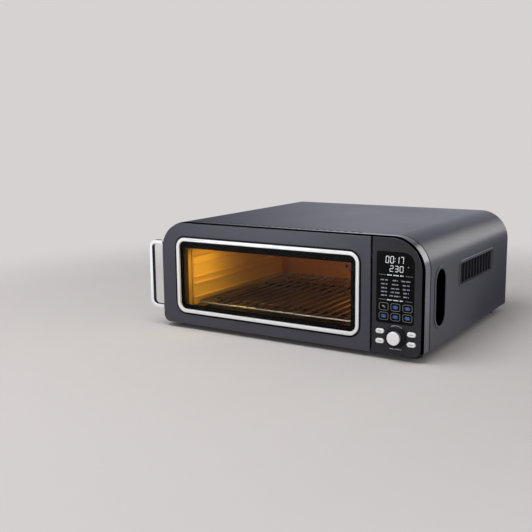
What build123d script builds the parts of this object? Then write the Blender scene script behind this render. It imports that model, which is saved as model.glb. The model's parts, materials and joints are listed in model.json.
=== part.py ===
"""Countertop pizza and toaster oven with a side-hinged glass door.

Every coordinate inside a sketch is measured on the oven itself: across from the middle of the face,
back from the front of the face, and up from the table. The model's origin is on the table, under the
middle of the whole oven, with +Z up and the face towards -Y.
"""

import os

from build123d import *

# Driving dimensions, in millimetres.

# Face and housing
FACE_WIDTH = 500.0
FACE_HEIGHT = 183.5
FACE_CLEARANCE = 9.0
SHOULDER_RADIUS = 50.0
LOWER_CORNER_RADIUS = 13.0
PANEL_THICKNESS = 2.5
PANEL_EDGE = 1.0
HOUSING_DEPTH = 430.0
FRAME_OVERHANG = 3.0
FRAME_RISE = 1.5
FRAME_DEPTH = 22.0
FRAME_WALL = 2.5
FRAME_EDGE = 1.2
FRAME_LOWER_RADIUS = 3.0
FRAME_BORDER = 17.0
FRAME_TOP_BORDER = 12.0
SKIRT_CLEARANCE = 14.0
BASE_THICKNESS = 1.5
BASE_FLANGE = 14.0
SHELL_THICKNESS = 1.2
SHELL_SEAM = 2.0
SPIGOT_DEPTH = 6.0
SPIGOT_WALL = 1.5
SPIGOT_BOTTOM = 40.0
TOP_HOLE_RADIUS = 3.5
TOP_HOLE_PITCH = 13.0
TOP_HOLE_COUNT = 22
TOP_HOLE_SETBACK = 16.0

# Door
CONTROL_WIDTH = 81.5
SEAM_GAP = 2.8
SEAM_CORNER = 1.5
LINER_INSET = 4.0
LINER_THICKNESS = 4.2
DOOR_GAP = 0.3
TRIM_LEFT_MARGIN = 33.0
TRIM_SEAM_MARGIN = 19.3
TRIM_LOWER_MARGIN = 21.5
TRIM_UPPER_MARGIN = 26.0
TRIM_RADIUS = 18.0
TRIM_WIDTH = 6.0
TRIM_PROUD = 1.5
TRIM_EDGE = 1.2
TRIM_FIT = 1.0
GLASS_THICKNESS = 3.0
GLASS_LIP = 6.0
GLASS_FIT = 0.3
SIGHT_LEFT_MARGIN = 5.0
SIGHT_RIGHT_MARGIN = 13.4
SIGHT_LOWER_MARGIN = 11.5
SIGHT_UPPER_MARGIN = 15.5
SIGHT_RADIUS = 6.0
PLUG_DEPTH = 10.8
PLUG_GAP = 2.0
PLUG_CORNER = 8.0
PLUG_HINGE_GAP = 13.5
OPENING_SHOULDER = 36.0
GASKET_WIDTH = 5.0
GASKET_HEIGHT = 2.5
GASKET_MARGIN = 1.5
GASKET_EDGE = 0.8
HINGE_INSET = 2.2
HINGE_DEPTH = 3.5
BARREL_RADIUS = 1.9
BARREL_CLEARANCE = 0.2
PIN_RADIUS = 1.0
PIN_FIT = 0.05
PIN_GRIP = 6.0
BRACKET_THICKNESS = 3.0
BRACKET_RIM = 0.75
BRACKET_INSET = 14.0
BRACKET_CLEARANCE = 1.2
BRACKET_ARM_LEFT = 4.0
BRACKET_ARM_RIGHT = 0.2
BRACKET_FOOT = 2.0
BRACKET_FOOT_WIDTH = 12.0
BRACKET_FOOT_HEIGHT = 18.0
CATCH_WIDTH = 6.0
CATCH_HEIGHT = 30.0
CATCH_THICKNESS = 0.6
MAGNET_DEPTH = 6.0

# Door pull
HANDLE_REACH = 31.0
HANDLE_LOWER_MARGIN = 27.0
HANDLE_UPPER_MARGIN = 37.5
HANDLE_WIDTH = 6.4
HANDLE_DEPTH = 9.0
HANDLE_EDGE = 0.8
HANDLE_BEND = 11.0
HANDLE_SETBACK = 0.2
HANDLE_RELIEF = 1.5
TAB_LENGTH = 12.0
TAB_HEIGHT = 8.0
TAB_THICKNESS = 2.4
PULL_SCREW_RADIUS = 1.5
PULL_SCREW_HEAD = 1.5
PULL_SCREW_TAPER = 45.0
PULL_SCREW_SETBACK = 4.0

# Control panel
CARRIER_INSET = 4.0
CARRIER_SEAM_INSET = 2.0
BAY_MARGIN = 2.5
BAY_CORNER = 4.0
LENS_SEAM_MARGIN = 7.7
LENS_EDGE_MARGIN = 11.2
LENS_DIAL_GAP = 4.3
LENS_UPPER_MARGIN = 21.2
LENS_RADIUS = 4.0
LENS_SHOULDER = 18.0
LENS_FIT = 0.2
LENS_RECESS = 0.2
LENS_LEDGE = 5.0
BUTTON_DIAL_GAP = 2.0
BUTTON_DROP = 8.4
BUTTON_RISE = 7.4
BUTTON_LENGTH = 14.4
BUTTON_HEIGHT = 7.5
BUTTON_PROUD = 2.4
BUTTON_EDGE = 1.0
BUTTON_FIT = 0.3
BUTTON_FLANGE = 1.2
BUTTON_FLANGE_THICKNESS = 1.2
BUTTON_REST_GAP = 0.05
BUTTON_TRAVEL = 0.9
SWITCH_SIZE = 6.0
SWITCH_PLUNGER_RADIUS = 1.6
SWITCH_PLUNGER = 1.0
BOARD_SETBACK = 7.0
BOARD_THICKNESS = 1.6
BOARD_FIT = 1.5
BOARD_POST_RADIUS = 2.5
BOARD_POST_SPACING = 30.0
DIAL_EDGE_MARGIN = 40.4
DIAL_LIFT = 29.0
DIAL_REACH = 10.8
DIAL_RADIUS = 10.8
DIAL_EDGE = 1.0
SKIRT_RADIUS = 17.0
SKIRT_THICKNESS = 3.4
DIAL_TRAVEL = 0.6
DIAL_REST_GAP = 0.3
DIAL_CROWN = 3.0
SHAFT_RADIUS = 3.0
SHAFT_FIT = 0.05
ENCODER_SIZE = 13.0
ENCODER_HEIGHT = 5.0
BUSHING_RADIUS = 4.5
PLUNGER_RADIUS = 4.0
PLUNGER_THICKNESS = 1.2

# Cavity
MOUTH_LEFT_MARGIN = 27.0
MOUTH_RIGHT_MARGIN = 10.0
MOUTH_LOWER_MARGIN = 7.0
MOUTH_UPPER_MARGIN = 18.0
MACHINE_DEPTH = 59.0
CAVITY_SHEET = 1.0
MOUTH_CORNER = 3.0
BEAD_SETBACK = 9.0
BEAD_WIDTH = 2.7
BEAD_DEPTH = 4.0
GUIDE_SETBACK = 2.0
GUIDE_REAR_GAP = 26.0
GUIDE_PITCH = 37.5
GUIDE_CHANNEL = 11.0
GUIDE_LEVELS = 3
GUIDE_LIP = 5.0
GUIDE_SHEET = 1.2
RACK_RISE = 18.0
RACK_RAIL_RADIUS = 2.5
RACK_WIRE_RADIUS = 1.5
RACK_WELD = 0.6
RACK_WIRES = 17
RACK_FRONT = 40.0
RACK_REAR_GAP = 19.0
RACK_CORNER = 14.0
RACK_SIDE_GAP = 1.5
RACK_LIFT = 0.2
TRAY_FRONT = 38.0
TRAY_REAR_GAP = 16.0
TRAY_SIDE_GAP = 3.0
TRAY_SHEET = 0.8
TRAY_RIM = 5.0
TRAY_LIFT = 0.1
ELEMENT_RADIUS = 3.25
ELEMENT_FRONT = 110.0
ELEMENT_REAR_GAP = 91.0
ELEMENT_LOWER_GAP = 10.0
ELEMENT_UPPER_GAP = 12.0
ELEMENT_TAIL = 15.0
BUSH_RADIUS = 5.0
BUSH_FLANGE_RADIUS = 8.0
BUSH_FLANGE = 5.0
LAMP_SIDE_GAP = 42.0
LAMP_UPPER_GAP = 30.0
LAMP_RADIUS = 11.0
LAMP_REACH = 14.0
LAMP_DOME = 7.7
LAMP_COLLAR = 3.0
LAMP_SOCKET_DEPTH = 26.0
PROBE_SIDE_GAP = 45.0
PROBE_UPPER_GAP = 16.0
PROBE_RADIUS = 2.0
PROBE_REACH = 45.0
PROBE_TIP = 1.6
PROBE_FLANGE_RADIUS = 6.0
PROBE_TAIL = 12.0

# Convection fan
FAN_OPENING_RADIUS = 50.0
FAN_RADIUS = 44.0
FAN_BLADES = 12
FAN_BLADE_SHEET = 0.8
FAN_BLADE_LENGTH = 22.0
FAN_BLADE_HEIGHT = 12.0
FAN_BLADE_LEAN = 30.0
FAN_HUB_RADIUS = 7.0
FAN_SHEET = 1.0
FAN_CLEARANCE = 3.0
GRILLE_RADIUS = 58.0
GRILLE_SHEET = 1.5
GRILLE_HOLE_RADIUS = 4.0
GRILLE_RINGS = 4
GRILLE_RING_HOLES = 6
GRILLE_RING_PITCH = 12.0
FAN_DISH_DEPTH = 23.0
FAN_SHAFT_RADIUS = 2.5
MOTOR_STANDOFF = 8.0
MOTOR_WIDTH = 54.0
MOTOR_HEIGHT = 46.0
MOTOR_STACK = 14.0
MOTOR_BOSS_RADIUS = 8.0
MOTOR_CORNER = 2.0
MOTOR_POST_RADIUS = 3.0
MOTOR_POST_INSET = 5.0
MOTOR_WINDOW = 11.0
MOTOR_LEG = 5.5
COIL_MARGIN = 3.5

# Sides, rear and underside
SIDE_RIM = 1.2
SIDE_RIM_EDGE = 1.0
GRIP_DEPTH_CENTRE = 71.7
GRIP_WIDTH = 45.0
GRIP_HEIGHT = 96.0
GRIP_SHOULDER_GAP = 0.5
GRIP_POCKET = 24.0
GRIP_WALL = 2.0
GRIP_FLOOR_RADIUS = 4.0
GRIP_RIM = 3.0
GRIP_FIT = 0.2
VENT_LENGTH = 181.0
VENT_INSET = 90.0
VENT_SHOULDER_GAP = 6.0
VENT_HEIGHT = 40.6
VENT_RADIUS = 8.0
VENT_RIM = 2.5
VENT_FIT = 0.2
VENT_RECESS = 3.0
VENT_SHEET = 2.0
VENT_DRAFT = 25.0
VENT_SLOTS = 11
VENT_SLOT_WIDTH = 10.4
VENT_SLOT_MARGIN = 4.0
REAR_SHEET = 1.2
REAR_FLANGE = 12.0
REAR_SLOT_LENGTH = 60.0
REAR_SLOT_HEIGHT = 4.0
REAR_SLOT_ROWS = 7
REAR_SLOT_COLUMNS = 3
REAR_SLOT_PITCH = 12.0
REAR_SLOT_SPACING = 90.0
REAR_SLOT_RISE = 17.0
REAR_SCREW_RADIUS = 1.75
REAR_SCREW_HEAD_RADIUS = 4.0
REAR_SCREW_HEAD = 2.0
REAR_SCREW_LENGTH = 8.0
REAR_SCREW_INSET = 20.0
REAR_SCREW_CROSS = 4.4
REAR_SCREW_CROSS_WIDTH = 1.0
REAR_SCREW_CROSS_DEPTH = 1.2
GLAND_SPACING = 33.0
GLAND_LIFT = 29.5
GLAND_RADIUS = 9.0
GLAND_FLANGE_RADIUS = 13.0
GLAND_FLANGE = 3.0
GLAND_REACH = 10.0
GLAND_BORE = 4.0
FOOT_RADIUS = 16.0
FOOT_TOE_RADIUS = 13.0
FOOT_EDGE = 1.5
FOOT_INSET = 28.0
FOOT_FRONT = 38.0
FOOT_REAR_INSET = 35.0
FOOT_BORE = 5.0
FOOT_SOLE = 6.0
FOOT_SCREW_RADIUS = 2.0
FOOT_SCREW_HEAD_RADIUS = 4.0
FOOT_SCREW_HEAD = 3.0
FOOT_SCREW_TIP = 5.0
BASE_SLOT_LENGTH = 40.0
BASE_SLOT_WIDTH = 5.0
BASE_SLOT_PITCH = 15.0
BASE_SLOT_COUNT = 8
BASE_SLOT_INSET = 130.0
POWER_BOARD_WIDTH = 78.0
POWER_BOARD_LENGTH = 150.0
POWER_BOARD_INSET = 170.0
POWER_BOARD_LIFT = 8.0
POWER_POST_RADIUS = 3.5
POWER_POST_INSET = 7.0
TRANSFORMER_SIZE = 34.0
TRANSFORMER_HEIGHT = 28.0
TRANSFORMER_OFFSET = 37.5
RELAY_LENGTH = 19.0
RELAY_WIDTH = 15.0
RELAY_HEIGHT = 15.5
RELAY_SPACING = 30.0
RELAY_OFFSET = 18.0
CAPACITOR_RADIUS = 8.0
CAPACITOR_HEIGHT = 24.0
CAPACITOR_OFFSET = 50.0

# Places worked out from the driving dimensions
FACE_LEFT = -FACE_WIDTH / 2
FACE_RIGHT = FACE_WIDTH / 2
FACE_TOP = FACE_CLEARANCE + FACE_HEIGHT
SHELL_LEFT = FACE_LEFT - FRAME_OVERHANG
SHELL_RIGHT = FACE_RIGHT + FRAME_OVERHANG
SHELL_TOP = FACE_TOP + FRAME_RISE
SHELL_RADIUS = SHOULDER_RADIUS + FRAME_OVERHANG
BODY_X = (HANDLE_REACH - FRAME_OVERHANG - SIDE_RIM) / 2
FACE_Y = (DIAL_REACH - HOUSING_DEPTH - GLAND_REACH) / 2

FASCIA_LEFT = FACE_RIGHT - CONTROL_WIDTH
DOOR_RIGHT = FASCIA_LEFT - SEAM_GAP
LINER_BACK = PANEL_THICKNESS + LINER_THICKNESS
FRAME_FRONT = LINER_BACK + DOOR_GAP
FRAME_BACK = FRAME_FRONT + FRAME_DEPTH
SHELL_FRONT = FRAME_BACK + SHELL_SEAM
PLUG_BACK = LINER_BACK + PLUG_DEPTH
CAVITY_FRONT = PLUG_BACK + GASKET_HEIGHT + DOOR_GAP
WALL_FRONT = CAVITY_FRONT + CAVITY_SHEET
BASE_TOP = SKIRT_CLEARANCE + BASE_THICKNESS
REAR_FACE = HOUSING_DEPTH - REAR_SHEET
CAVITY_REAR = HOUSING_DEPTH - MACHINE_DEPTH
BEAD_FRONT = WALL_FRONT + BEAD_SETBACK
BEAD_BACK = BEAD_FRONT + BEAD_WIDTH
GUIDE_FRONT = BEAD_BACK + GUIDE_SETBACK
GUIDE_REAR = CAVITY_REAR - GUIDE_REAR_GAP
RACK_REAR = CAVITY_REAR - RACK_REAR_GAP
TRAY_REAR = CAVITY_REAR - TRAY_REAR_GAP
ELEMENT_REAR = CAVITY_REAR - ELEMENT_REAR_GAP
VENT_REAR = HOUSING_DEPTH - VENT_INSET
VENT_FRONT = VENT_REAR - VENT_LENGTH
VENT_TOP = SHELL_TOP - SHELL_RADIUS - VENT_SHOULDER_GAP
VENT_BOTTOM = VENT_TOP - VENT_HEIGHT
GRIP_LEVEL = SHELL_TOP - SHELL_RADIUS - GRIP_SHOULDER_GAP - GRIP_HEIGHT / 2
FOOT_REAR = HOUSING_DEPTH - FOOT_REAR_INSET
BASE_SLOT_DEPTH = HOUSING_DEPTH - BASE_SLOT_INSET
POWER_BOARD_DEPTH = HOUSING_DEPTH - POWER_BOARD_INSET
HINGE_X = DOOR_RIGHT - HINGE_INSET

OPENING_LEFT = SHELL_LEFT + FRAME_BORDER
OPENING_RIGHT = FASCIA_LEFT
OPENING_BOTTOM = BASE_TOP
OPENING_TOP = SHELL_TOP - FRAME_TOP_BORDER
PLUG_LEFT = OPENING_LEFT + PLUG_GAP
PLUG_RIGHT = HINGE_X - PLUG_HINGE_GAP
PLUG_BOTTOM = OPENING_BOTTOM + PLUG_GAP
PLUG_TOP = OPENING_TOP - PLUG_GAP
CAVITY_LEFT = PLUG_LEFT + MOUTH_LEFT_MARGIN
CAVITY_RIGHT = PLUG_RIGHT - MOUTH_RIGHT_MARGIN
CAVITY_BOTTOM = PLUG_BOTTOM + MOUTH_LOWER_MARGIN
CAVITY_TOP = PLUG_TOP - MOUTH_UPPER_MARGIN
RACK_LEVEL = CAVITY_BOTTOM + RACK_RISE
ELEMENT_LOW = CAVITY_BOTTOM + ELEMENT_LOWER_GAP
ELEMENT_HIGH = CAVITY_TOP - ELEMENT_UPPER_GAP
LAMP_X = CAVITY_LEFT + LAMP_SIDE_GAP
LAMP_Z = CAVITY_TOP - LAMP_UPPER_GAP
PROBE_X = CAVITY_RIGHT - PROBE_SIDE_GAP
PROBE_Z = CAVITY_TOP - PROBE_UPPER_GAP
FAN_X = (CAVITY_LEFT + CAVITY_RIGHT) / 2
FAN_Z = (CAVITY_BOTTOM + CAVITY_TOP) / 2
REAR_SLOT_LEVEL = FAN_Z + REAR_SLOT_RISE
POWER_BOARD_X = (CAVITY_RIGHT + SHELL_RIGHT) / 2
GLAND_X = SHELL_RIGHT - REAR_SCREW_INSET - GLAND_SPACING
GLAND_Z = BASE_TOP + GLAND_LIFT

TRIM_LEFT = FACE_LEFT + TRIM_LEFT_MARGIN
TRIM_RIGHT = DOOR_RIGHT - TRIM_SEAM_MARGIN
TRIM_BOTTOM = FACE_CLEARANCE + TRIM_LOWER_MARGIN
TRIM_TOP = FACE_TOP - TRIM_UPPER_MARGIN
SIGHT_LEFT = TRIM_LEFT + SIGHT_LEFT_MARGIN
SIGHT_RIGHT = TRIM_RIGHT - SIGHT_RIGHT_MARGIN
SIGHT_BOTTOM = TRIM_BOTTOM + SIGHT_LOWER_MARGIN
SIGHT_TOP = TRIM_TOP - SIGHT_UPPER_MARGIN
HANDLE_LOW = FACE_CLEARANCE + HANDLE_LOWER_MARGIN
HANDLE_HIGH = FACE_TOP - HANDLE_UPPER_MARGIN
BRACKET_LEVELS = (PLUG_BOTTOM + BRACKET_INSET, PLUG_TOP - BRACKET_INSET - BRACKET_THICKNESS)
HANDLE_LEVELS = (HANDLE_LOW, HANDLE_HIGH)
CATCH_LEFT = FACE_LEFT + LINER_INSET + GLASS_FIT
CATCH_LEVEL = (HANDLE_LOW + HANDLE_HIGH - CATCH_HEIGHT) / 2

CARRIER_LEFT = FASCIA_LEFT + CARRIER_SEAM_INSET
CARRIER_RIGHT = FACE_RIGHT - CARRIER_INSET
CARRIER_BOTTOM = FACE_CLEARANCE + CARRIER_INSET
CARRIER_TOP = FACE_TOP - CARRIER_INSET
DIAL_X = FACE_RIGHT - DIAL_EDGE_MARGIN
DIAL_Z = FACE_CLEARANCE + DIAL_LIFT
BUTTON_SPREAD = SKIRT_RADIUS + BUTTON_DIAL_GAP + BUTTON_LENGTH / 2
BUTTON_LEFT = DIAL_X - BUTTON_SPREAD
BUTTON_RIGHT = DIAL_X + BUTTON_SPREAD
BUTTON_LOW = DIAL_Z - BUTTON_DROP
BUTTON_HIGH = DIAL_Z + BUTTON_RISE
LENS_LEFT = FASCIA_LEFT + LENS_SEAM_MARGIN
LENS_RIGHT = FACE_RIGHT - LENS_EDGE_MARGIN
LENS_BOTTOM = DIAL_Z + SKIRT_RADIUS + LENS_DIAL_GAP
LENS_TOP = FACE_TOP - LENS_UPPER_MARGIN
BOARD_FRONT = FRAME_FRONT + BOARD_SETBACK
BUTTON_FLANGE_FRONT = FRAME_FRONT + BUTTON_REST_GAP
SWITCH_TOP = BUTTON_FLANGE_FRONT + BUTTON_FLANGE_THICKNESS + BUTTON_TRAVEL + BUTTON_REST_GAP
ENCODER_FRONT = BOARD_FRONT - ENCODER_HEIGHT
PLUNGER_FRONT = ENCODER_FRONT + PLUNGER_THICKNESS
SKIRT_BACK = -(DIAL_TRAVEL + DIAL_REST_GAP)
SKIRT_FRONT = SKIRT_BACK - SKIRT_THICKNESS

FAN_DISH_BACK = CAVITY_REAR + CAVITY_SHEET + FAN_DISH_DEPTH
FAN_BACK = FAN_DISH_BACK - FAN_SHEET - FAN_CLEARANCE
MOTOR_FRONT = FAN_DISH_BACK + MOTOR_STANDOFF
POWER_BOARD_BOTTOM = BASE_TOP + POWER_BOARD_LIFT
POWER_BOARD_TOP = POWER_BOARD_BOTTOM + BOARD_THICKNESS

TRIM = (TRIM_LEFT, TRIM_RIGHT, TRIM_BOTTOM, TRIM_TOP)
SIGHT = (SIGHT_LEFT, SIGHT_RIGHT, SIGHT_BOTTOM, SIGHT_TOP)
LENS = (LENS_LEFT, LENS_RIGHT, LENS_BOTTOM, LENS_TOP)
MOUTH = (CAVITY_LEFT, CAVITY_RIGHT, CAVITY_BOTTOM, CAVITY_TOP)
OPENING = (OPENING_LEFT, OPENING_RIGHT, OPENING_BOTTOM, OPENING_TOP)
PLUG = (PLUG_LEFT, PLUG_RIGHT, PLUG_BOTTOM, PLUG_TOP)
CARRIER = (CARRIER_LEFT, CARRIER_RIGHT, CARRIER_BOTTOM, CARRIER_TOP)
BUTTONS = {
    "upper_left_button": (BUTTON_LEFT, BUTTON_HIGH),
    "lower_left_button": (BUTTON_LEFT, BUTTON_LOW),
    "upper_right_button": (BUTTON_RIGHT, BUTTON_HIGH),
    "lower_right_button": (BUTTON_RIGHT, BUTTON_LOW),
}
FEET = [
    (x, depth)
    for x in (SHELL_LEFT + FOOT_INSET, SHELL_RIGHT - FOOT_INSET)
    for depth in (FOOT_FRONT, FOOT_REAR)
]
ELEMENT_DEPTHS = (ELEMENT_FRONT, ELEMENT_REAR)
REAR_SCREWS = [
    (x, z)
    for x in (SHELL_LEFT + REAR_SCREW_INSET, 0, SHELL_RIGHT - REAR_SCREW_INSET)
    for z in (BASE_TOP + REAR_SCREW_INSET, SHELL_TOP - SHELL_RADIUS)
]


def front(depth):
    """Upright plane that faces the user; a negative extrusion runs back into the oven."""
    return Plane(origin=(BODY_X, FACE_Y + depth, 0), x_dir=(1, 0, 0), z_dir=(0, -1, 0))


def side(x):
    """Upright plane that faces right; its first axis runs back and its second up."""
    return Plane(origin=(BODY_X + x, FACE_Y, 0), x_dir=(0, 1, 0), z_dir=(1, 0, 0))


def level(z):
    """Flat plane at a height above the table; its first axis runs right and its second back."""
    return Plane(origin=(BODY_X, FACE_Y, z), x_dir=(1, 0, 0), z_dir=(0, 0, 1))


def grown(rect, margin):
    """Rectangle (left, right, bottom, top) with every side moved out by a margin."""
    left, right, bottom, top = rect
    return (left - margin, right + margin, bottom - margin, top + margin)


def outline(rect, radii):
    """Sketch of a rectangle; the corner radii start at the lower left and go anticlockwise."""
    left, right, bottom, top = rect
    with BuildSketch() as face:
        with BuildLine():
            corners = [(left, bottom), (right, bottom), (right, top), (left, top)]
            FilletPolyline(*corners, radius=radii, close=True)
        make_face()
    return face.sketch_local


def window(rect, radius, mode=Mode.ADD):
    """Rectangle with four equal round corners, in the sketch that is open."""
    left, right, bottom, top = rect
    with Locations(((left + right) / 2, (bottom + top) / 2)):
        RectangleRounded(right - left, top - bottom, radius, mode=mode)


def slab(rect, mode=Mode.ADD):
    """Rectangle with sharp corners, in the sketch that is open."""
    left, right, bottom, top = rect
    with Locations(((left + right) / 2, (bottom + top) / 2)):
        Rectangle(right - left, top - bottom, mode=mode)


def wrap_outline(inset, bottom):
    """Housing section inside the shell's outer face by an inset, square at the bottom."""
    rect = (SHELL_LEFT + inset, SHELL_RIGHT - inset, bottom, SHELL_TOP - inset)
    return outline(rect, [0, 0, SHELL_RADIUS - inset, SHELL_RADIUS - inset])


def wrap_band(inset, thickness, bottom):
    """Sheet bent as an upside-down U over the housing, inside its outer face by an inset."""
    with BuildSketch() as band:
        add(wrap_outline(inset, bottom))
        add(wrap_outline(inset + thickness, bottom - thickness), mode=Mode.SUBTRACT)
    return band.sketch_local


def opening_outline(margin):
    """Door opening of the front frame, grown by a margin, with a large radius under the shoulder."""
    corner = PLUG_CORNER + PLUG_GAP + margin
    return outline(grown(OPENING, margin), [corner, corner, corner, OPENING_SHOULDER + margin])


def carrier_outline(margin):
    """Control panel's carrier, shrunk by a margin, with the housing's shoulder at its upper right."""
    shoulder = SHOULDER_RADIUS - CARRIER_INSET - margin
    lower = max(LOWER_CORNER_RADIUS - CARRIER_INSET - margin, BAY_CORNER)
    return outline(grown(CARRIER, -margin), [BAY_CORNER, lower, shoulder, BAY_CORNER])


def lens_outline(margin):
    """Display lens, grown by a margin, with a larger radius under the housing's shoulder."""
    corner = LENS_RADIUS + margin
    return outline(grown(LENS, margin), [corner, corner, LENS_SHOULDER + margin, corner])


def save(piece, name):
    """Label a finished piece and write it as its own file."""
    piece.label = name
    export_step(piece, f"parts/{name}.step")


os.makedirs("parts", exist_ok=True)

# Housing

with BuildPart() as outer_shell:
    with BuildSketch(front(SHELL_FRONT)):
        add(wrap_band(0, SHELL_THICKNESS, SKIRT_CLEARANCE))
    extrude(amount=SHELL_FRONT - HOUSING_DEPTH)
    with BuildSketch(side(SHELL_LEFT)):
        with Locations((GRIP_DEPTH_CENTRE, GRIP_LEVEL)):
            SlotOverall(GRIP_HEIGHT, GRIP_WIDTH, rotation=90)
    extrude(amount=SHELL_RIGHT - SHELL_LEFT, mode=Mode.SUBTRACT)
    with BuildSketch(side(SHELL_RIGHT)):
        window((VENT_FRONT, VENT_REAR, VENT_BOTTOM, VENT_TOP), VENT_RADIUS)
    extrude(amount=-SHELL_THICKNESS, mode=Mode.SUBTRACT)
save(outer_shell.part, "outer_shell")

with BuildPart() as front_frame:
    frame_rect = (SHELL_LEFT, SHELL_RIGHT, SKIRT_CLEARANCE, SHELL_TOP)
    frame_radii = [FRAME_LOWER_RADIUS, FRAME_LOWER_RADIUS, SHELL_RADIUS, SHELL_RADIUS]
    with BuildSketch(front(FRAME_FRONT)):
        add(outline(frame_rect, frame_radii))
    extrude(amount=-FRAME_DEPTH)
    fillet(front_frame.faces().sort_by(Axis.Y)[0].outer_wire().edges(), FRAME_EDGE)
    hollow_rect = (SHELL_LEFT + FRAME_WALL, SHELL_RIGHT - FRAME_WALL, BASE_TOP, SHELL_TOP - FRAME_WALL)
    with BuildSketch(front(FRAME_FRONT + FRAME_WALL)):
        add(outline(hollow_rect, [radius - FRAME_WALL for radius in frame_radii]))
    extrude(amount=FRAME_WALL - FRAME_DEPTH, mode=Mode.SUBTRACT)
    with BuildSketch(front(FRAME_FRONT + FRAME_WALL)):
        add(opening_outline(FRAME_WALL))
        slab((SHELL_LEFT, SHELL_RIGHT, 0, BASE_TOP), mode=Mode.SUBTRACT)
    extrude(amount=FRAME_FRONT + FRAME_WALL - CAVITY_FRONT)
    with BuildSketch(front(FRAME_FRONT)):
        add(opening_outline(0))
    extrude(amount=FRAME_FRONT - CAVITY_FRONT, mode=Mode.SUBTRACT)
    with BuildSketch(front(FRAME_FRONT)):
        add(carrier_outline(BAY_MARGIN))
    extrude(amount=-FRAME_WALL, mode=Mode.SUBTRACT)
    with BuildSketch(front(FRAME_FRONT)):
        slab((CATCH_LEFT, CATCH_LEFT + CATCH_WIDTH, CATCH_LEVEL, CATCH_LEVEL + CATCH_HEIGHT))
    extrude(amount=-FRAME_WALL, mode=Mode.SUBTRACT)
    with BuildSketch(front(FRAME_BACK)):
        add(wrap_band(SHELL_THICKNESS, SPIGOT_WALL, SPIGOT_BOTTOM))
    extrude(amount=-SPIGOT_DEPTH)
    with BuildSketch(level(SHELL_TOP)):
        with Locations((0, FRAME_FRONT + TOP_HOLE_SETBACK)):
            with GridLocations(TOP_HOLE_PITCH, 0, TOP_HOLE_COUNT, 1):
                Circle(TOP_HOLE_RADIUS)
    extrude(amount=-FRAME_WALL, mode=Mode.SUBTRACT)
save(front_frame.part, "front_frame")

with BuildPart() as base_pan:
    pan_rect = (SHELL_LEFT + SHELL_THICKNESS, SHELL_RIGHT - SHELL_THICKNESS, FRAME_BACK, REAR_FACE)
    with BuildSketch(level(SKIRT_CLEARANCE)):
        slab(pan_rect)
        with Locations((CAVITY_LEFT / 2 + CAVITY_RIGHT / 2, BASE_SLOT_DEPTH)):
            with GridLocations(BASE_SLOT_PITCH, 0, BASE_SLOT_COUNT, 1):
                SlotOverall(BASE_SLOT_LENGTH, BASE_SLOT_WIDTH, rotation=90, mode=Mode.SUBTRACT)
        with Locations(*FEET):
            Circle(FOOT_SCREW_RADIUS, mode=Mode.SUBTRACT)
    extrude(amount=BASE_THICKNESS)
    with BuildSketch(level(BASE_TOP)):
        slab((pan_rect[0], pan_rect[0] + BASE_THICKNESS, SHELL_FRONT + SPIGOT_DEPTH, REAR_FACE - REAR_FLANGE))
        slab((pan_rect[1] - BASE_THICKNESS, pan_rect[1], SHELL_FRONT + SPIGOT_DEPTH, REAR_FACE - REAR_FLANGE))
    extrude(amount=BASE_FLANGE)
    with BuildSketch(level(BASE_TOP)):
        with Locations((POWER_BOARD_X, POWER_BOARD_DEPTH)):
            with GridLocations(
                POWER_BOARD_WIDTH - 2 * POWER_POST_INSET, POWER_BOARD_LENGTH - 2 * POWER_POST_INSET, 2, 2
            ):
                Circle(POWER_POST_RADIUS)
    extrude(amount=POWER_BOARD_LIFT)
save(base_pan.part, "base_pan")

with BuildPart() as rear_panel:
    with BuildSketch(front(REAR_FACE)):
        add(wrap_outline(SHELL_THICKNESS, SKIRT_CLEARANCE))
        with Locations((FAN_X, REAR_SLOT_LEVEL)):
            with GridLocations(REAR_SLOT_SPACING, REAR_SLOT_PITCH, REAR_SLOT_COLUMNS, REAR_SLOT_ROWS):
                SlotOverall(REAR_SLOT_LENGTH, REAR_SLOT_HEIGHT, mode=Mode.SUBTRACT)
        with Locations(*REAR_SCREWS):
            Circle(REAR_SCREW_RADIUS, mode=Mode.SUBTRACT)
        with Locations((GLAND_X, GLAND_Z)):
            Circle(GLAND_RADIUS, mode=Mode.SUBTRACT)
    extrude(amount=-REAR_SHEET)
    with BuildSketch(front(REAR_FACE)):
        add(wrap_band(SHELL_THICKNESS, REAR_SHEET, BASE_TOP + BASE_FLANGE))
    extrude(amount=REAR_FLANGE)
save(rear_panel.part, "rear_panel")

with BuildPart() as rear_screws:
    with BuildSketch(front(HOUSING_DEPTH)):
        with Locations(*REAR_SCREWS):
            Circle(REAR_SCREW_HEAD_RADIUS)
    extrude(amount=-REAR_SCREW_HEAD)
    fillet(rear_screws.faces().group_by(Axis.Y)[-1].edges(), REAR_SCREW_HEAD / 2)
    with BuildSketch(front(HOUSING_DEPTH)):
        with Locations(*REAR_SCREWS):
            Circle(REAR_SCREW_RADIUS)
    extrude(amount=REAR_SCREW_LENGTH)
    with BuildSketch(front(HOUSING_DEPTH + REAR_SCREW_HEAD)):
        with Locations(*REAR_SCREWS):
            Rectangle(REAR_SCREW_CROSS, REAR_SCREW_CROSS_WIDTH)
            Rectangle(REAR_SCREW_CROSS_WIDTH, REAR_SCREW_CROSS)
    extrude(amount=REAR_SCREW_CROSS_DEPTH, mode=Mode.SUBTRACT)
save(rear_screws.part, "rear_screws")

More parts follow.
